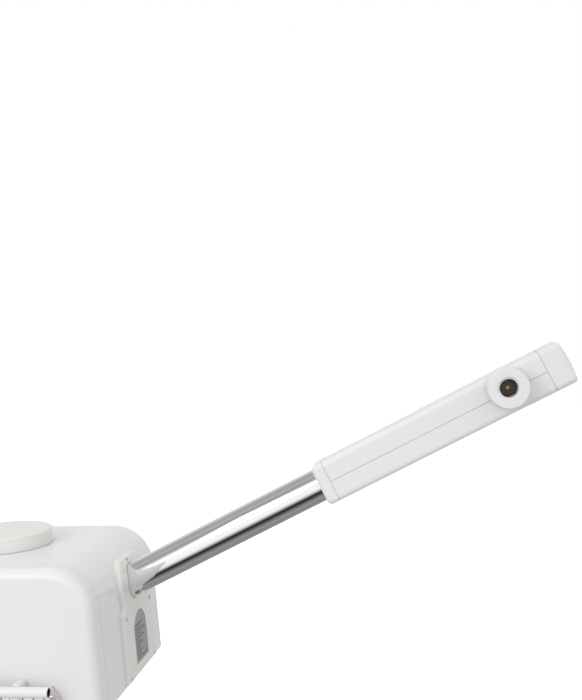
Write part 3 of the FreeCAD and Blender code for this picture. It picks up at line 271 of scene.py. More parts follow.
def body_of(frame: dict, node: str) -> str:
    """The body that a CAD node rides on."""
    bodies = frame["record"]["behaviour"]["bodies"]
    return next(body for body, members in bodies.items() if node in members)


def node_points(frame: dict, node: str) -> Array:
    """All the points of a CAD node, (n, 3), in metres."""
    mesh = frame["nodes"][node].data
    flat = np.zeros(len(mesh.vertices) * 3)
    mesh.vertices.foreach_get("co", flat)
    return flat.reshape(-1, 3)


# ---------------------------------------------------------------- finishes
class Grain(Enum):
    """How the fine relief of a surface runs."""

    EVEN = (1.0, 1.0, 1.0)
    ALONG_X = (0.04, 1.0, 1.0)
    ALONG_Z = (1.0, 1.0, 0.04)


@dataclass(frozen=True)
class Finish:
    """One surface finish: its colour, gloss, fine relief, and dust with painted shade in its corners."""

    colour: Colour
    shade: Colour
    roughness: float
    mottle: float = 0.35
    mottle_scale: float = 9.0
    spread: float = 0.05
    smudge_scale: float = 22.0
    grain_scale: float = 600.0
    grain_depth: float = 0.02
    grain: Grain = Grain.EVEN
    metallic: float = 0.0
    coat: float = 0.0
    coat_roughness: float = 0.08
    specular: float = 0.5
    # how far dust and painted shade darken seams and corners, and how far the occlusion looks for them
    crease_dust_and_shade: float = 0.0
    crease_dust_and_shade_reach: float = 0.006
    clear: float = 0.0
    ior: float = 1.5

    def build(self, name: str) -> bpy.types.Material:
        """Makes the node tree: mottled colour, uneven gloss, fine relief, and dust with painted shade in
        corners.
        """
        material = bpy.data.materials.new(name)
        material.use_nodes = True
        nodes, links = material.node_tree.nodes, material.node_tree.links
        shader = nodes["Principled BSDF"]
        shader.inputs["Metallic"].default_value = self.metallic
        shader.inputs["IOR"].default_value = self.ior
        shader.inputs["Specular IOR Level"].default_value = self.specular
        shader.inputs["Coat Weight"].default_value = self.coat
        shader.inputs["Coat Roughness"].default_value = self.coat_roughness
        shader.inputs["Transmission Weight"].default_value = self.clear
        place = nodes.new("ShaderNodeTexCoord")
        stretch = nodes.new("ShaderNodeMapping")
        stretch.inputs["Scale"].default_value = self.grain.value
        links.new(place.outputs["Object"], stretch.inputs["Vector"])

        mottling = self._noise(nodes, links, place.outputs["Object"], self.mottle_scale, 4.0)
        share = self._range(nodes, links, mottling, 0.35, 0.7, 0.0, self.mottle)
        mixed = self._mix(nodes, links, share, self.colour, self.shade)
        # dust and painted shade: the colour is darkened where ambient occlusion finds the surface closed in
        if self.crease_dust_and_shade:
            mixed = self._dust_and_painted_shade(nodes, links, mixed)
        links.new(mixed, shader.inputs["Base Color"])

        smudge = self._noise(nodes, links, stretch.outputs["Vector"], self.smudge_scale, 6.0)
        gloss = self._range(nodes, links, smudge, 0.3, 0.75, max(self.roughness - self.spread, 0.01),
                            self.roughness + self.spread)
        links.new(gloss, shader.inputs["Roughness"])

        relief = self._noise(nodes, links, stretch.outputs["Vector"], self.grain_scale, 3.0)
        bump = nodes.new("ShaderNodeBump")
        bump.inputs["Strength"].default_value = 1.0
        bump.inputs["Distance"].default_value = self.grain_depth * MM
        links.new(relief, bump.inputs["Height"])
        links.new(bump.outputs["Normal"], shader.inputs["Normal"])
        return material

    def _dust_and_painted_shade(self, nodes: bpy.types.Nodes, links: bpy.types.NodeLinks,
              colour: bpy.types.NodeSocket) -> bpy.types.NodeSocket:
        """Dust with painted shade: darkens the colour a little in seams and corners, by how closed in the
        spot is.
        """
        near = nodes.new("ShaderNodeAmbientOcclusion")
        near.samples = 24
        near.inputs["Distance"].default_value = self.crease_dust_and_shade_reach
        closed = self._range(nodes, links, near.outputs["AO"], 0.25, 0.95, self.crease_dust_and_shade, 0.0)
        mix = nodes.new("ShaderNodeMix")
        mix.data_type = "RGBA"
        links.new(closed, mix.inputs["Factor"])
        links.new(colour, mix.inputs["A"])
        mix.inputs["B"].default_value = (*(0.45 * c for c in self.shade), 1.0)
        return mix.outputs["Result"]

    @staticmethod
    def _noise(nodes: bpy.types.Nodes, links: bpy.types.NodeLinks, place: bpy.types.NodeSocket,
               scale: float, detail: float) -> bpy.types.NodeSocket:
        """A noise value over the given coordinates."""
        noise = nodes.new("ShaderNodeTexNoise")
        noise.inputs["Scale"].default_value = scale
        noise.inputs["Detail"].default_value = detail
        links.new(place, noise.inputs["Vector"])
        return noise.outputs["Fac"]

    @staticmethod
    def _range(nodes: bpy.types.Nodes, links: bpy.types.NodeLinks, value: bpy.types.NodeSocket,
               low: float, high: float, start: float, end: float) -> bpy.types.NodeSocket:
        """Maps low..high to start..end, held at both ends."""
        node = nodes.new("ShaderNodeMapRange")
        for key, number in zip(("From Min", "From Max", "To Min", "To Max"), (low, high, start, end)):
            node.inputs[key].default_value = number
        links.new(value, node.inputs["Value"])
        return node.outputs["Result"]

    @staticmethod
    def _mix(nodes: bpy.types.Nodes, links: bpy.types.NodeLinks, share: bpy.types.NodeSocket,
             first: Colour, second: Colour) -> bpy.types.NodeSocket:
        """Mixes two colours by a share."""
        mix = nodes.new("ShaderNodeMix")
        mix.data_type = "RGBA"
        mix.inputs["A"].default_value = (*first, 1.0)
        mix.inputs["B"].default_value = (*second, 1.0)
        links.new(share, mix.inputs["Factor"])
        return mix.outputs["Result"]


FINISHES: dict[str, Finish] = {
    "white_abs": Finish((0.80, 0.80, 0.812), (0.785, 0.784, 0.793), 0.28, spread=0.02,
                        grain_scale=260.0, grain_depth=0.001, coat=0.12, coat_roughness=0.10, specular=0.2,
                        crease_dust_and_shade=0.2),
    "ivory_abs": Finish((0.805, 0.785, 0.76), (0.765, 0.74, 0.71), 0.32, grain_scale=420.0,
                        grain_depth=0.006, specular=0.2, crease_dust_and_shade=0.15),
    "arm_abs": Finish((0.83, 0.83, 0.83), (0.80, 0.795, 0.785), 0.36, grain_scale=1500.0,
                      grain_depth=0.02, specular=0.3, crease_dust_and_shade=0.35),
    "chrome": Finish((0.96, 0.96, 0.965), (0.93, 0.935, 0.95), 0.035, mottle=0.6, spread=0.02,
                     grain_scale=40.0, grain_depth=0.004, metallic=1.0),
    "steel": Finish((0.56, 0.56, 0.57), (0.42, 0.41, 0.40), 0.32, metallic=1.0, grain=Grain.ALONG_X,
                    grain_depth=0.03),
    # Brownish near-black steel: the cover screws' own colour, and painted shade on the pivot spindle deep in
    # the hub's bore.
    "dark_steel": Finish((0.078, 0.062, 0.05), (0.045, 0.036, 0.03), 0.42, metallic=0.9, spread=0.1),
    "zinc": Finish((0.62, 0.62, 0.60), (0.50, 0.48, 0.40), 0.35, metallic=1.0, mottle=0.7,
                   mottle_scale=120.0),
    "brass": Finish((0.50, 0.36, 0.18), (0.26, 0.17, 0.09), 0.34, metallic=1.0, mottle=0.8,
                    mottle_scale=300.0),
    "bronze": Finish((0.46, 0.30, 0.16), (0.30, 0.18, 0.10), 0.36, metallic=1.0, mottle=0.7),
    "cast_alloy": Finish((0.50, 0.50, 0.50), (0.36, 0.36, 0.36), 0.55, metallic=0.9,
                         grain_scale=900.0, grain_depth=0.12),
    "nylon": Finish((0.72, 0.71, 0.67), (0.62, 0.60, 0.54), 0.45, grain_depth=0.02),
    "fibre": Finish((0.30, 0.14, 0.08), (0.18, 0.09, 0.06), 0.75, grain_depth=0.08),
    "label_grey": Finish((0.375, 0.36, 0.385), (0.34, 0.325, 0.35), 0.42, metallic=0.2,
                         grain=Grain.ALONG_Z, grain_scale=1800.0),
    "dark_plastic": Finish((0.022, 0.022, 0.024), (0.035, 0.034, 0.033), 0.38, spread=0.08),
    "grey_plastic": Finish((0.34, 0.345, 0.36), (0.29, 0.29, 0.30), 0.45, grain_depth=0.04),
    "mica": Finish((0.52, 0.44, 0.33), (0.38, 0.30, 0.20), 0.30, mottle=0.9, mottle_scale=90.0),
    "heating_wire": Finish((0.30, 0.27, 0.26), (0.20, 0.14, 0.11), 0.42, metallic=1.0),
    "clear_shield": Finish((0.93, 0.885, 0.89), (0.915, 0.87, 0.88), 0.04, mottle=0.5, spread=0.02,
                           grain_scale=30.0, grain_depth=0.002, clear=1.0, ior=1.33),
    "soft_trim": Finish((0.27, 0.27, 0.285), (0.22, 0.22, 0.23), 0.62, grain_depth=0.06),
    "copper_can": Finish((0.42, 0.42, 0.43), (0.30, 0.29, 0.28), 0.36, metallic=1.0,
                         grain=Grain.ALONG_Z),
    "print_ink": Finish((0.055, 0.056, 0.065), (0.085, 0.085, 0.095), 0.5, grain_depth=0.01),
}


class Paintbox:
    """Hands out one material for each finish."""

    def __init__(self) -> None:
        """Starts with no material made."""
        self.made: dict[str, bpy.types.Material] = {}

    def material(self, name: str) -> bpy.types.Material:
        """The material of a finish, made at its first use."""
        if name not in self.made:
            self.made[name] = FINISHES[name].build("finish_" + name)
        return self.made[name]

    def paint(self, piece: bpy.types.Object, name: str) -> None:
        """Gives a piece one finish all over."""
        material = self.material(name)
        if not piece.material_slots:
            piece.data.materials.append(material)
        for place in piece.material_slots:
            place.material = material

    def paint_nodes(self, nodes: dict[str, bpy.types.Object]) -> None:
        """Gives each carried-over node the finish that its record names."""
        for name, node in nodes.items():
            slot = node.material_slots[0].material.name.split(".")[0]
            self.paint(node, slot)
            log.info("node %s finished as %s", name, slot)


# ---------------------------------------------------------------- arm
@dataclass
class Arm:
    """The chrome tube between the sleeve and the head."""

    frame: dict
    paints: Paintbox
    segments: int = 192
    lip: float = 0.5 * MM
    wall: float = 1.5 * MM

    def build(self) -> None:
        """Makes the smooth tube and hides the plain one."""
        tilt = next(j for j in self.frame["joints"] if j["name"] == "head_tilt")
        axis = np.array(tilt["axis"], float)
        axis /= np.linalg.norm(axis)
        entry = np.array(tilt["pos_m"], float)
        away = node_points(self.frame, "extension_tube") - entry
        along = away @ axis
        radius = np.linalg.norm(away - along[:, None] * axis, axis=1).max()
        profile = self.profile(radius, along.min(), along.max())
        tube = make_piece("chrome_tube", revolve(profile, entry, axis, self.segments), "extension")
        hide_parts("extension_tube")
        self.paints.paint(tube, "chrome")

    def profile(self, radius: float, low: float, high: float) -> Array:
        """Closed (radius, height) loop of the tube's wall with quarter-round lips at both ends."""
        turn = np.linspace(0, math.pi / 2, 4)
        sin, cos = self.lip * np.sin(turn), self.lip * np.cos(turn)
        inner = radius - self.wall
        outer_high = np.stack([radius - self.lip + cos, high - self.lip + sin], -1)
        inner_high = np.stack([inner + self.lip - cos[::-1], high - self.lip + sin[::-1]], -1)
        inner_low = np.stack([inner + self.lip - cos, low + self.lip - sin], -1)
        outer_low = np.stack([radius - self.lip + cos[::-1], low + self.lip - sin[::-1]], -1)
        return np.concatenate([outer_high, inner_high, inner_low, outer_low])


# ---------------------------------------------------------------- hinge tube
@dataclass
class PaintedBoreShade:
    """A thin near-black lining inside the hinge tube: painted shade for its dark, unlit bore."""

    frame: dict
    paints: Paintbox
    segments: int = 96
    wall: float = 1.0 * MM      # outside of the tube to the lining
    thick: float = 0.3 * MM
    short: float = 0.4 * MM     # how far it stops before each end

    def build(self) -> None:
        """Makes the lining a little shorter than the tube."""
        points = node_points(self.frame, "hinge_tube")
        low, high = points.min(0), points.max(0)
        middle = (low + high) / 2
        outer = (high[1] - low[1]) / 2 - self.wall
        inner, half = outer - self.thick, (high[0] - low[0]) / 2 - self.short
        profile = np.array([[outer, half], [inner, half], [inner, -half], [outer, -half]])
        surface = revolve(profile, middle, np.array([1.0, 0.0, 0.0]), self.segments)
        lining = make_piece("tube_bore_shade", surface, body_of(self.frame, "hinge_tube"))
        # painted shade: a near-black sleeve where the bore is only dim
        self.paints.paint(lining, "dark_plastic")


# ---------------------------------------------------------------- screws
@dataclass
class Screws:
    """Pan-head screws with a cross recess, each where the plain one is.

    The recess and the dome are given as shares of the head's radius.
    """

    frame: dict
    paints: Paintbox
    segments: int = 64
    recess_width: float = 0.2
    recess_length: float = 0.66
    recess_depth: float = 0.34
    recess_slope: float = 0.07
    recess_rise: float = 0.45
    dome: float = 0.16
    rings: int = 16
    nodes: tuple[tuple[str, str], ...] = (("cover_screws", "dark_steel"), ("sleeve_screws", "zinc"),
                                          ("base_screws", "zinc"), ("visor_screws", "zinc"))

    def build(self) -> None:
        """Makes each row of screws as one piece."""
        for node, finish in self.nodes:
            source = self.frame["nodes"][node]
            made = [self.screw(points) for points in islands(source.data)]
            piece = make_piece(node + "_cross", join(made), body_of(self.frame, node))
            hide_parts(node)
            self.paints.paint(piece, finish)

    def screw(self, points: Array) -> Surface:
        """One screw, fitted to the points of the plain one.

        Height on the head = top less the dome's share of the squared radius, less the recess, which is
        the larger of two crossed bars with soft edges.
        """
        axis = turning_axis(points)
        middle = points.mean(0)
        along = (points - middle) @ axis
        away = np.linalg.norm(points - middle - along[:, None] * axis, axis=1)
        if away[along > 0].max() < away[along < 0].max():
            axis, along = -axis, -along
        radius = away.max()
        top, tip = along.max(), along.min()
        head = top - along[away > radius * 0.98].min()
        shank = away[along < tip + TOUCH].max()
        axis, side, up = basis(axis)
        angle = np.linspace(0, 2 * math.pi, self.segments, endpoint=False)
        reach = np.linspace(0, 1, self.rings)
        u, v = np.abs(reach[:, None] * np.cos(angle)), np.abs(reach[:, None] * np.sin(angle))
        soft = self.recess_slope
        bar_u = soft_step(v, self.recess_width / 2 + soft, soft) * soft_step(u, self.recess_length, soft)
        bar_v = soft_step(u, self.recess_width / 2 + soft, soft) * soft_step(v, self.recess_length, soft)
        dip = np.maximum(bar_u, bar_v) * self.recess_depth * (1 - self.recess_rise * reach[:, None])
        crown = top - radius * (self.dome * reach[:, None] ** 2 + dip)
        lower = np.array([[radius, top - head], [shank, top - head], [shank, tip + shank], [0.0, tip]])
        rows = np.concatenate([reach * radius, lower[:, 0]])
        level = np.concatenate([crown, np.repeat(lower[:, 1:], self.segments, 1)])
        ring = np.cos(angle)[:, None] * side + np.sin(angle)[:, None] * up
        grid_points = middle + level[..., None] * axis + rows[:, None, None] * ring[None]
        return grid(grid_points, wrap_cols=True).outward()


# ---------------------------------------------------------------- fan and heater
@dataclass
class Blower:
    """Curved-blade fan wheel and the coiled heating wire under it."""

    frame: dict
    paints: Paintbox
    blades: int = 11
    sweep: float = math.radians(48)
    blade_thick: float = 1.5 * MM
    plate: float = 2.0 * MM
    hub_radius: float = 7.0 * MM
    shaft_radius: float = 2.5 * MM
    coil_radius: float = 1.15 * MM
    wire_radius: float = 0.28 * MM
    coil_pitch: float = 2.6 * MM
    ring_points: int = 9
    segments: int = 96
    blade_steps: int = 14
    blade_fall: float = 0.22    # share of the height that a blade loses towards the rim
    blade_curl: float = 1.4

    def build(self) -> None:
        """Makes the wheel and the wire."""
        self.wheel()
        self.wire()

    def wheel(self) -> None:
        """The wheel: a turned plate, hub and shaft, and blades swept back along a curve.

        Blade point = middle + radius at the swept angle, plus or minus half the thickness across.
        """
        low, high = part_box("impeller")
        middle = np.array([(low.x + high.x) / 2, (low.y + high.y) / 2, 0.0])
        outer = (high.x - low.x) / 2
        across = node_points(self.frame, "impeller") - middle
        wide = np.linalg.norm(across[:, :2], axis=1) > outer * 0.9
        base, top, foot = across[wide, 2].min(), high.z, low.z
        core = np.array([[0.0, top], [self.hub_radius, top], [self.hub_radius + 1 * MM, base + 4 * MM],
                         [self.hub_radius + 4 * MM, base + self.plate], [outer, base + self.plate],
                         [outer, base], [self.shaft_radius, base], [self.shaft_radius, foot], [0.0, foot]])
        solid = revolve(core, middle, np.array([0.0, 0.0, 1.0]), self.segments)
        share = np.linspace(0, 1, self.blade_steps)
        radius = self.hub_radius - 1 * MM + share * (outer - self.hub_radius)
        crest = top - self.blade_fall * (top - base) * share ** 2
        loop_side = np.array([-1.0, 1.0, 1.0, -1.0]) * self.blade_thick / 2
        loop_high = np.array([0, 0, 1, 1])
        made = [solid]
        for number in range(self.blades):
            angle = 2 * math.pi * number / self.blades - self.sweep * share ** self.blade_curl
            line = np.stack([radius * np.cos(angle), radius * np.sin(angle)], -1)
            run = np.gradient(line, axis=0)
            normal = np.stack([-run[:, 1], run[:, 0]], -1) / np.linalg.norm(run, axis=1, keepdims=True)
            flat = line[:, None] + normal[:, None] * loop_side[None, :, None]
            tall = np.where(loop_high, crest[:, None], base + self.plate * 0.5)
            body = np.concatenate([flat, tall[..., None]], -1) + middle
            ends = [np.broadcast_to(body[k].mean(0), body[k].shape)[None] for k in (0, -1)]
            made.append(grid(np.concatenate([ends[0], body, ends[1]]), wrap_cols=True).outward())
        piece = make_piece("fan_wheel", join(made), body_of(self.frame, "impeller"))
        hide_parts("impeller")
        self.paints.paint(piece, "grey_plastic")

    def wire(self) -> None:
        """The heating wire: a small helix bent round each plain ring.

        Path = ring's middle + (ring radius + coil radius times cosine of the turns) out + coil radius
        times their sine up.
        """
        made = []
        for points in islands(self.frame["nodes"]["heater_coil"].data):
            low, high = points.min(0), points.max(0)
            middle = (low + high) / 2
            ring = (high[0] - low[0]) / 2 - (high[2] - low[2]) / 2
            turns = int(2 * math.pi * ring / self.coil_pitch)
            angle = np.linspace(0, 2 * math.pi, turns * self.ring_points, endpoint=False)
            out = ring + self.coil_radius * np.cos(turns * angle)
            path = np.stack([out * np.cos(angle), out * np.sin(angle),
                             self.coil_radius * np.sin(turns * angle)], -1)
            made.append(carry(middle + path, circle(self.wire_radius, 6), closed=True).outward())
        piece = make_piece("heating_wire", join(made), body_of(self.frame, "heater_coil"))
        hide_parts("heater_coil")
        self.paints.paint(piece, "heating_wire")


# ---------------------------------------------------------------- controls
@dataclass
class Knob:
    """A fluted control knob with a pale pointer line."""

    frame: dict
    paints: Paintbox
    node: str
    flutes: int = 20
    flute_depth: float = 0.75 * MM
    edge: float = 1.6 * MM
    dish: float = 0.7 * MM
    taper: float = 2.0 * MM
    pointer: tuple[float, float] = (0.35, 0.80)     # shares of the radius
    pointer_width: float = 1.3 * MM
    pointer_rise: float = 0.3 * MM
    segments: int = 240

    def build(self) -> None:
        """Makes the knob and its pointer on the knob's own body.

        Radius = the cone's radius less the flute depth times a soft comb of the angle, which fades out
        near the face; the face is dished.
        """
        points = node_points(self.frame, self.node)
        low, high = points.min(0), points.max(0)
        middle = np.array([(low[0] + high[0]) / 2, 0.0, (low[2] + high[2]) / 2])
        away = np.linalg.norm((points - middle)[:, [0, 2]], axis=1)
        radius, front, stem_end = away.max(), -low[1], -high[1]
        stem = away[points[:, 1] > high[1] - TOUCH].max()
        foot = -points[away > radius - 0.4 * MM, 1].max()
        turn = np.linspace(0, math.pi / 2, 6)
        shrink = radius - self.taper
        rim = np.stack([shrink - self.edge + self.edge * np.cos(turn),
                        front - self.edge + self.edge * np.sin(turn)], -1)
        face = np.linspace(1, 0, 8)[1:]
        inner = np.stack([(shrink - self.edge) * face, front - self.dish * (1 - face ** 2)], -1)
        side = np.stack([np.linspace(radius, shrink, 7)[:-1],
                         np.linspace(foot, front - self.edge, 7)[:-1]], -1)
        back = np.array([[0.0, stem_end], [stem, stem_end], [stem, foot], [radius - 1 * MM, foot]])
        profile = np.concatenate([back, side, rim, inner])
        fade = np.zeros(len(profile))
        fade[len(back):len(back) + len(side)] = 1.0
        fade[len(back) + len(side):len(back) + len(side) + 3] = (1.0, 0.6, 0.2)
        angle = np.linspace(0, 2 * math.pi, self.segments, endpoint=False)
        comb = np.clip(0.5 - 0.5 * np.cos(self.flutes * angle), 0, 1) ** 1.5
        reach = profile[:, :1] - self.flute_depth * fade[:, None] * comb[None]
        grid_points = middle + np.stack([reach * np.cos(angle), np.broadcast_to(-profile[:, 1:], reach.shape),
                                         reach * np.sin(angle)], -1)
        body = body_of(self.frame, self.node)
        knob = make_piece(self.node + "_fluted", grid(grid_points, wrap_cols=True).outward(), body)
        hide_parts(self.node)
        self.paints.paint(knob, "grey_plastic")
        face_y = -(front - self.dish * 0.5)
        start, end = (middle + np.array([[0.0, face_y, share * radius]]) for share in self.pointer)
        pointer = bars(start, end, self.pointer_width, self.pointer_rise, np.array([0.0, -1.0, 0.0]))
        line = make_piece(self.node + "_pointer", pointer, body)
        self.paints.paint(line, "white_abs")


@dataclass
class Dial:
    """Printed scale on the front round one knob: ticks and plain numbers."""

    frame: dict
    paints: Paintbox
    node: str
    numbers: tuple[str, ...]
    between: int = 1
    sweep: float = math.radians(280)
    gap: float = 2.4 * MM
    long_tick: float = 3.0 * MM
    short_tick: float = 1.8 * MM
    width: float = 0.5 * MM
    rise: float = 0.10 * MM
    text_size: float = 5.2 * MM

    def build(self) -> None:
        """Makes the ticks and the numbers as two pieces on the front shell."""
        low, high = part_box(self.node)
        face_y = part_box("front_shell")[0].y
        middle = np.array([(low.x + high.x) / 2, face_y, (low.z + high.z) / 2])
        radius = (high.x - low.x) / 2 + self.gap
        steps = (len(self.numbers) - 1) * (self.between + 1) + 1
        angle = math.pi / 2 + self.sweep / 2 - np.linspace(0, self.sweep, steps)
        ray = np.stack([np.cos(angle), np.zeros(steps), np.sin(angle)], -1)
        length = np.where(np.arange(steps) % (self.between + 1) == 0, self.long_tick, self.short_tick)
        surface = bars(middle + ray * radius, middle + ray * (radius + length[:, None]), self.width,
                       self.rise, np.array([0.0, -1.0, 0.0]))
        body = body_of(self.frame, "front_shell")
        ticks = make_piece(self.node + "_ticks", surface, body)
        self.paints.paint(ticks, "print_ink")
        places = middle + ray[::self.between + 1] * (radius + self.long_tick + 0.72 * self.text_size)
        self.write(places, body)

    def write(self, places: Array, body: str) -> None:
        """Flat numbers, each centred on its place and facing forwards."""
        work = bmesh.new()
        for text, place in zip(self.numbers, places):
            curve = bpy.data.curves.new("number", "FONT")
            curve.body = text
            curve.size = self.text_size
            curve.extrude = self.rise / 2
            curve.align_x, curve.align_y = "CENTER", "CENTER"
            lettering = bpy.data.objects.new("number", curve)
            mesh = bpy.data.meshes.new_from_object(lettering)
            mesh.transform(Matrix.Translation(place) @ Matrix.Rotation(math.pi / 2, 4, "X"))
            work.from_mesh(mesh)
            bpy.data.objects.remove(lettering)
        bmesh.ops.remove_doubles(work, verts=work.verts, dist=WELD)
        bmesh.ops.recalc_face_normals(work, faces=work.faces)
        mesh = bpy.data.meshes.new(self.node + "_numbers")
        work.to_mesh(mesh)
        work.free()
        piece = bpy.data.objects.new(self.node + "_numbers", mesh)
        bpy.context.scene.collection.objects.link(piece)
        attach(piece, body)
        self.paints.paint(piece, "print_ink")
        log.info("%s_numbers: %d faces on %s", self.node, len(mesh.polygons), body)


# ---------------------------------------------------------------- plate on the side
@dataclass
class RuledPlate:
    """Ruled bars on the bare plate of the side cover, with nothing written on it."""

    frame: dict
    paints: Paintbox
    margin: float = 4.0 * MM
    head_room: float = 15.0 * MM
    width: float = 1.3 * MM
    rise: float = 0.06 * MM
    shares: tuple[float, ...] = (1.0, 0.42, 0.55, 0.36, 0.68, 0.45, 0.80, 0.52, 0.94, 0.60, 0.72)

    def build(self) -> None:
        """Makes the bars on the plate's outer face.

        Each row lies at a share of the plate's height, from a margin, for its share of the width.
        """
        points = node_points(self.frame, "label_plate")
        low, high = points.min(0), points.max(0)
        foot = points[points[:, 2] < low[2] + 0.5 * MM]
        crown = points[points[:, 2] > high[2] - 0.5 * MM]
        bottom = np.array([foot[:, 0].max(), 0.0, low[2]])
        top = np.array([crown[:, 0].max(), 0.0, high[2]])
        slope = (top - bottom) / (top[2] - bottom[2])
        normal = np.array([slope[2], 0.0, -slope[0]])
        normal /= np.linalg.norm(normal)
        height = np.linspace(low[2] + self.margin, high[2] - self.head_room, len(self.shares))
        spot = bottom + slope * (height - low[2])[:, None]
        wide = high[1] - low[1] - 2 * self.margin
        starts, ends = spot.copy(), spot.copy()
        starts[:, 1] = low[1] + self.margin
        ends[:, 1] = starts[:, 1] + wide * np.array(self.shares)
        surface = bars(starts, ends, self.width, self.rise, normal)
        piece = make_piece("plate_bars", surface, body_of(self.frame, "label_plate"))
        self.paints.paint(piece, "print_ink")


# ---------------------------------------------------------------- studio
@dataclass
class Studio:
    """Camera, soft light and a pale floor."""

    frame: dict
    camera_at: Vector = field(default_factory=lambda: Vector((-0.09168, -1.04452, 0.06642)))
    yaw: float = 0.13948
    pitch: float = 0.01781
    roll: float = -0.04345
    lens: float = 46.668
    floor_gap: float = 0.6
    floor_half: float = 12.0
    floor_glow: float = 0.6
    brightest: Vector = field(default_factory=lambda: Vector((0.151, -0.402, 0.903)))
    surround: tuple[float, float] = (0.42, 1.005)   # away from and towards the brightest side
    lamp_at: Vector = field(default_factory=lambda: Vector((-1.0, -1.35, 0.45)))
    lamp_target: Vector = field(default_factory=lambda: Vector((-0.25, 0.0, -0.15)))
    lamp_size: float = 0.8
    lamp_power: float = 6.5

    def build(self) -> None:
        """Makes everything that isn't the dryer."""
        self.camera()
        self.world()
        self.floor()
        self.lamp()
        bpy.context.scene.view_settings.view_transform = "Standard"

    def camera(self) -> None:
        """Camera from yaw left of +Y, pitch below level and roll about the view."""
        forward = Vector((-math.sin(self.yaw), math.cos(self.yaw), 0))
        right = Vector((math.cos(self.yaw), math.sin(self.yaw), 0))
        up = Vector((0, 0, 1))
        view = forward * math.cos(self.pitch) - up * math.sin(self.pitch)
        above = up * math.cos(self.pitch) + forward * math.sin(self.pitch)
        side = right * math.cos(self.roll) + above * math.sin(self.roll)
        top = above * math.cos(self.roll) - right * math.sin(self.roll)
        data = bpy.data.cameras.new("camera")
        data.lens = self.lens
        data.sensor_width = 36.0
        data.clip_start = 0.05
        data.clip_end = 100.0
        camera = bpy.data.objects.new("camera", data)
        bpy.context.scene.collection.objects.link(camera)
        matrix = Matrix((side, top, -view)).transposed().to_4x4()
        matrix.translation = self.camera_at
        camera.matrix_world = matrix
        bpy.context.scene.camera = camera

    # Brightness seen in a mirror, by angle about the arm: (degrees up from the front, colour).
    MIRROR: tuple[tuple[float, Colour], ...] = (
        (-180.0, (0.90, 0.90, 0.90)), (-150.0, (0.60, 0.585, 0.57)), (-135.0, (0.275, 0.26, 0.25)),
        (-101.0, (0.245, 0.235, 0.222)), (-86.0, (0.30, 0.292, 0.282)), (-72.0, (0.245, 0.235, 0.225)),
        (-59.0, (0.115, 0.112, 0.108)), (-47.0, (0.026, 0.026, 0.023)), (-37.0, (0.04, 0.04, 0.038)),
        (-25.0, (0.50, 0.50, 0.50)), (-15.0, (0.90, 0.90, 0.905)), (-5.0, (0.97, 0.97, 0.97)),
        (38.0, (0.98, 0.98, 0.98)), (48.0, (0.62, 0.62, 0.62)), (61.0, (0.30, 0.30, 0.305)),
        (74.0, (0.42, 0.42, 0.43)), (89.0, (0.42, 0.42, 0.43)), (104.0, (0.335, 0.335, 0.345)),
        (123.0, (0.49, 0.49, 0.50)), (150.0, (0.78, 0.78, 0.78)), (180.0, (0.90, 0.90, 0.90)),
    )

    def world(self) -> None:
        """White surroundings, brighter from above and in front, with soft panels in mirrors."""
        world = bpy.data.worlds.new("studio")
        bpy.context.scene.world = world
        world.use_nodes = True
        nodes, links = world.node_tree.nodes, world.node_tree.links
        nodes.clear()
        out = nodes.new("ShaderNodeOutputWorld")
        place = nodes.new("ShaderNodeTexCoord")
        rays = nodes.new("ShaderNodeLightPath")
        direction = place.outputs["Generated"]

        def dot(vector: Sequence[float]) -> bpy.types.NodeSocket:
            """How far the looked-at direction runs along a vector."""
            node = nodes.new("ShaderNodeVectorMath")
            node.operation = "DOT_PRODUCT"
            node.inputs[1].default_value = tuple(vector)
            links.new(direction, node.inputs[0])
            return node.outputs["Value"]

        def background(colour: bpy.types.NodeSocket | Colour) -> bpy.types.NodeSocket:
            """A background of one colour or a computed one."""
            node = nodes.new("ShaderNodeBackground")
            if isinstance(colour, tuple):
                node.inputs["Color"].default_value = (*colour, 1.0)
            else:
                links.new(colour, node.inputs["Color"])
            return node.outputs["Background"]

        def choose(share: bpy.types.NodeSocket, first: bpy.types.NodeSocket,
                   second: bpy.types.NodeSocket) -> bpy.types.NodeSocket:
            """Second where share is one, first elsewhere."""
            node = nodes.new("ShaderNodeMixShader")
            links.new(share, node.inputs[0])
            links.new(first, node.inputs[1])
            links.new(second, node.inputs[2])
            return node.outputs[0]

        key = dot(self.brightest.normalized())
        ramp = nodes.new("ShaderNodeMapRange")
        ramp.inputs["From Min"].default_value = -1.0
        ramp.inputs["From Max"].default_value = 1.0
        ramp.inputs["To Min"].default_value = self.surround[0]
        ramp.inputs["To Max"].default_value = self.surround[1]
        links.new(key, ramp.inputs["Value"])
        soft = background(ramp.outputs["Result"])

        tilt = next(j for j in self.frame["joints"] if j["name"] == "head_tilt")
        axis = Vector(tilt["axis"]).normalized()
        front = Vector((0, -1, 0))
        up = axis.cross(front) * (1 if axis.cross(front).z > 0 else -1)
        angle = nodes.new("ShaderNodeMath")
        angle.operation = "ARCTAN2"
        links.new(dot(up), angle.inputs[0])
        links.new(dot(front), angle.inputs[1])
        turn = nodes.new("ShaderNodeMapRange")
        turn.inputs["From Min"].default_value = -math.pi
        turn.inputs["From Max"].default_value = math.pi
        links.new(angle.outputs[0], turn.inputs["Value"])
        panels = nodes.new("ShaderNodeValToRGB")
        stops = panels.color_ramp.elements
        for number, (degrees, colour) in enumerate(self.MIRROR):
            where = (degrees + 180.0) / 360.0
            stop = stops[number] if number < 2 else stops.new(where)
            stop.position = where
            stop.color = (*colour, 1.0)
        links.new(turn.outputs["Result"], panels.inputs["Fac"])
        mirror = background(panels.outputs["Color"])

        lit = choose(rays.outputs["Is Glossy Ray"], soft, mirror)
        seen = choose(rays.outputs["Is Camera Ray"], lit, background((1.0, 1.0, 1.0)))
        links.new(seen, out.inputs["Surface"])

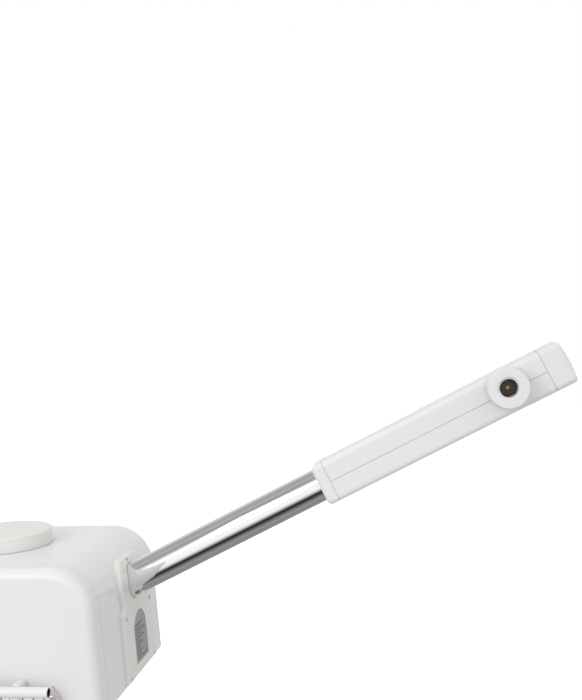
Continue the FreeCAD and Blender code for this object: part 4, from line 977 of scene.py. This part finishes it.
    def floor(self) -> None:
        """A wide pale floor, low enough to clear the head with the arm swung down."""
        low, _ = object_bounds()
        z = low.z - self.floor_gap
        half = self.floor_half
        mesh = bpy.data.meshes.new("floor")
        mesh.from_pydata([(-half, -half, z), (half, -half, z), (half, half, z), (-half, half, z)], [],
                         [(0, 1, 2, 3)])
        floor = bpy.data.objects.new("floor", mesh)
        bpy.context.scene.collection.objects.link(floor)
        material = bpy.data.materials.new("floor_white")
        material.use_nodes = True
        shader = material.node_tree.nodes["Principled BSDF"]
        shader.inputs["Base Color"].default_value = (0.9, 0.9, 0.9, 1.0)
        shader.inputs["Roughness"].default_value = 0.9
        shader.inputs["Specular IOR Level"].default_value = 0.0
        shader.inputs["Emission Color"].default_value = (1.0, 1.0, 1.0, 1.0)
        shader.inputs["Emission Strength"].default_value = self.floor_glow
        mesh.materials.append(material)
        floor.visible_glossy = False
        floor.visible_diffuse = False
        floor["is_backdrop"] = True

    def lamp(self) -> None:
        """A large soft lamp in front on the left that gives the soft shadows."""
        data = bpy.data.lights.new("key_lamp", "AREA")
        data.shape = "SQUARE"
        data.size = self.lamp_size
        data.energy = self.lamp_power
        lamp = bpy.data.objects.new("key_lamp", data)
        bpy.context.scene.collection.objects.link(lamp)
        lamp.location = self.lamp_at
        lamp.rotation_euler = (self.lamp_target - self.lamp_at).to_track_quat("-Z", "Y").to_euler()


# ---------------------------------------------------------------- main
def main() -> None:
    """Loads the frame, dresses it and sets up the studio."""
    logging.basicConfig(level=logging.INFO, format="%(name)s %(message)s")
    for old in list(bpy.data.objects):
        bpy.data.objects.remove(old)
    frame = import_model()
    paints = Paintbox()
    paints.paint_nodes(frame["nodes"])
    Arm(frame, paints).build()
    PaintedBoreShade(frame, paints).build()
    Screws(frame, paints).build()
    Blower(frame, paints).build()
    for node, numbers in (("timer_knob", ("0", "10", "20", "30", "40", "50", "60")),
                          ("heat_knob", ("0", "1", "2", "3", "4"))):
        Knob(frame, paints, node).build()
        Dial(frame, paints, node, numbers).build()
    RuledPlate(frame, paints).build()
    Studio(frame).build()


if __name__ == "__main__":
    main()
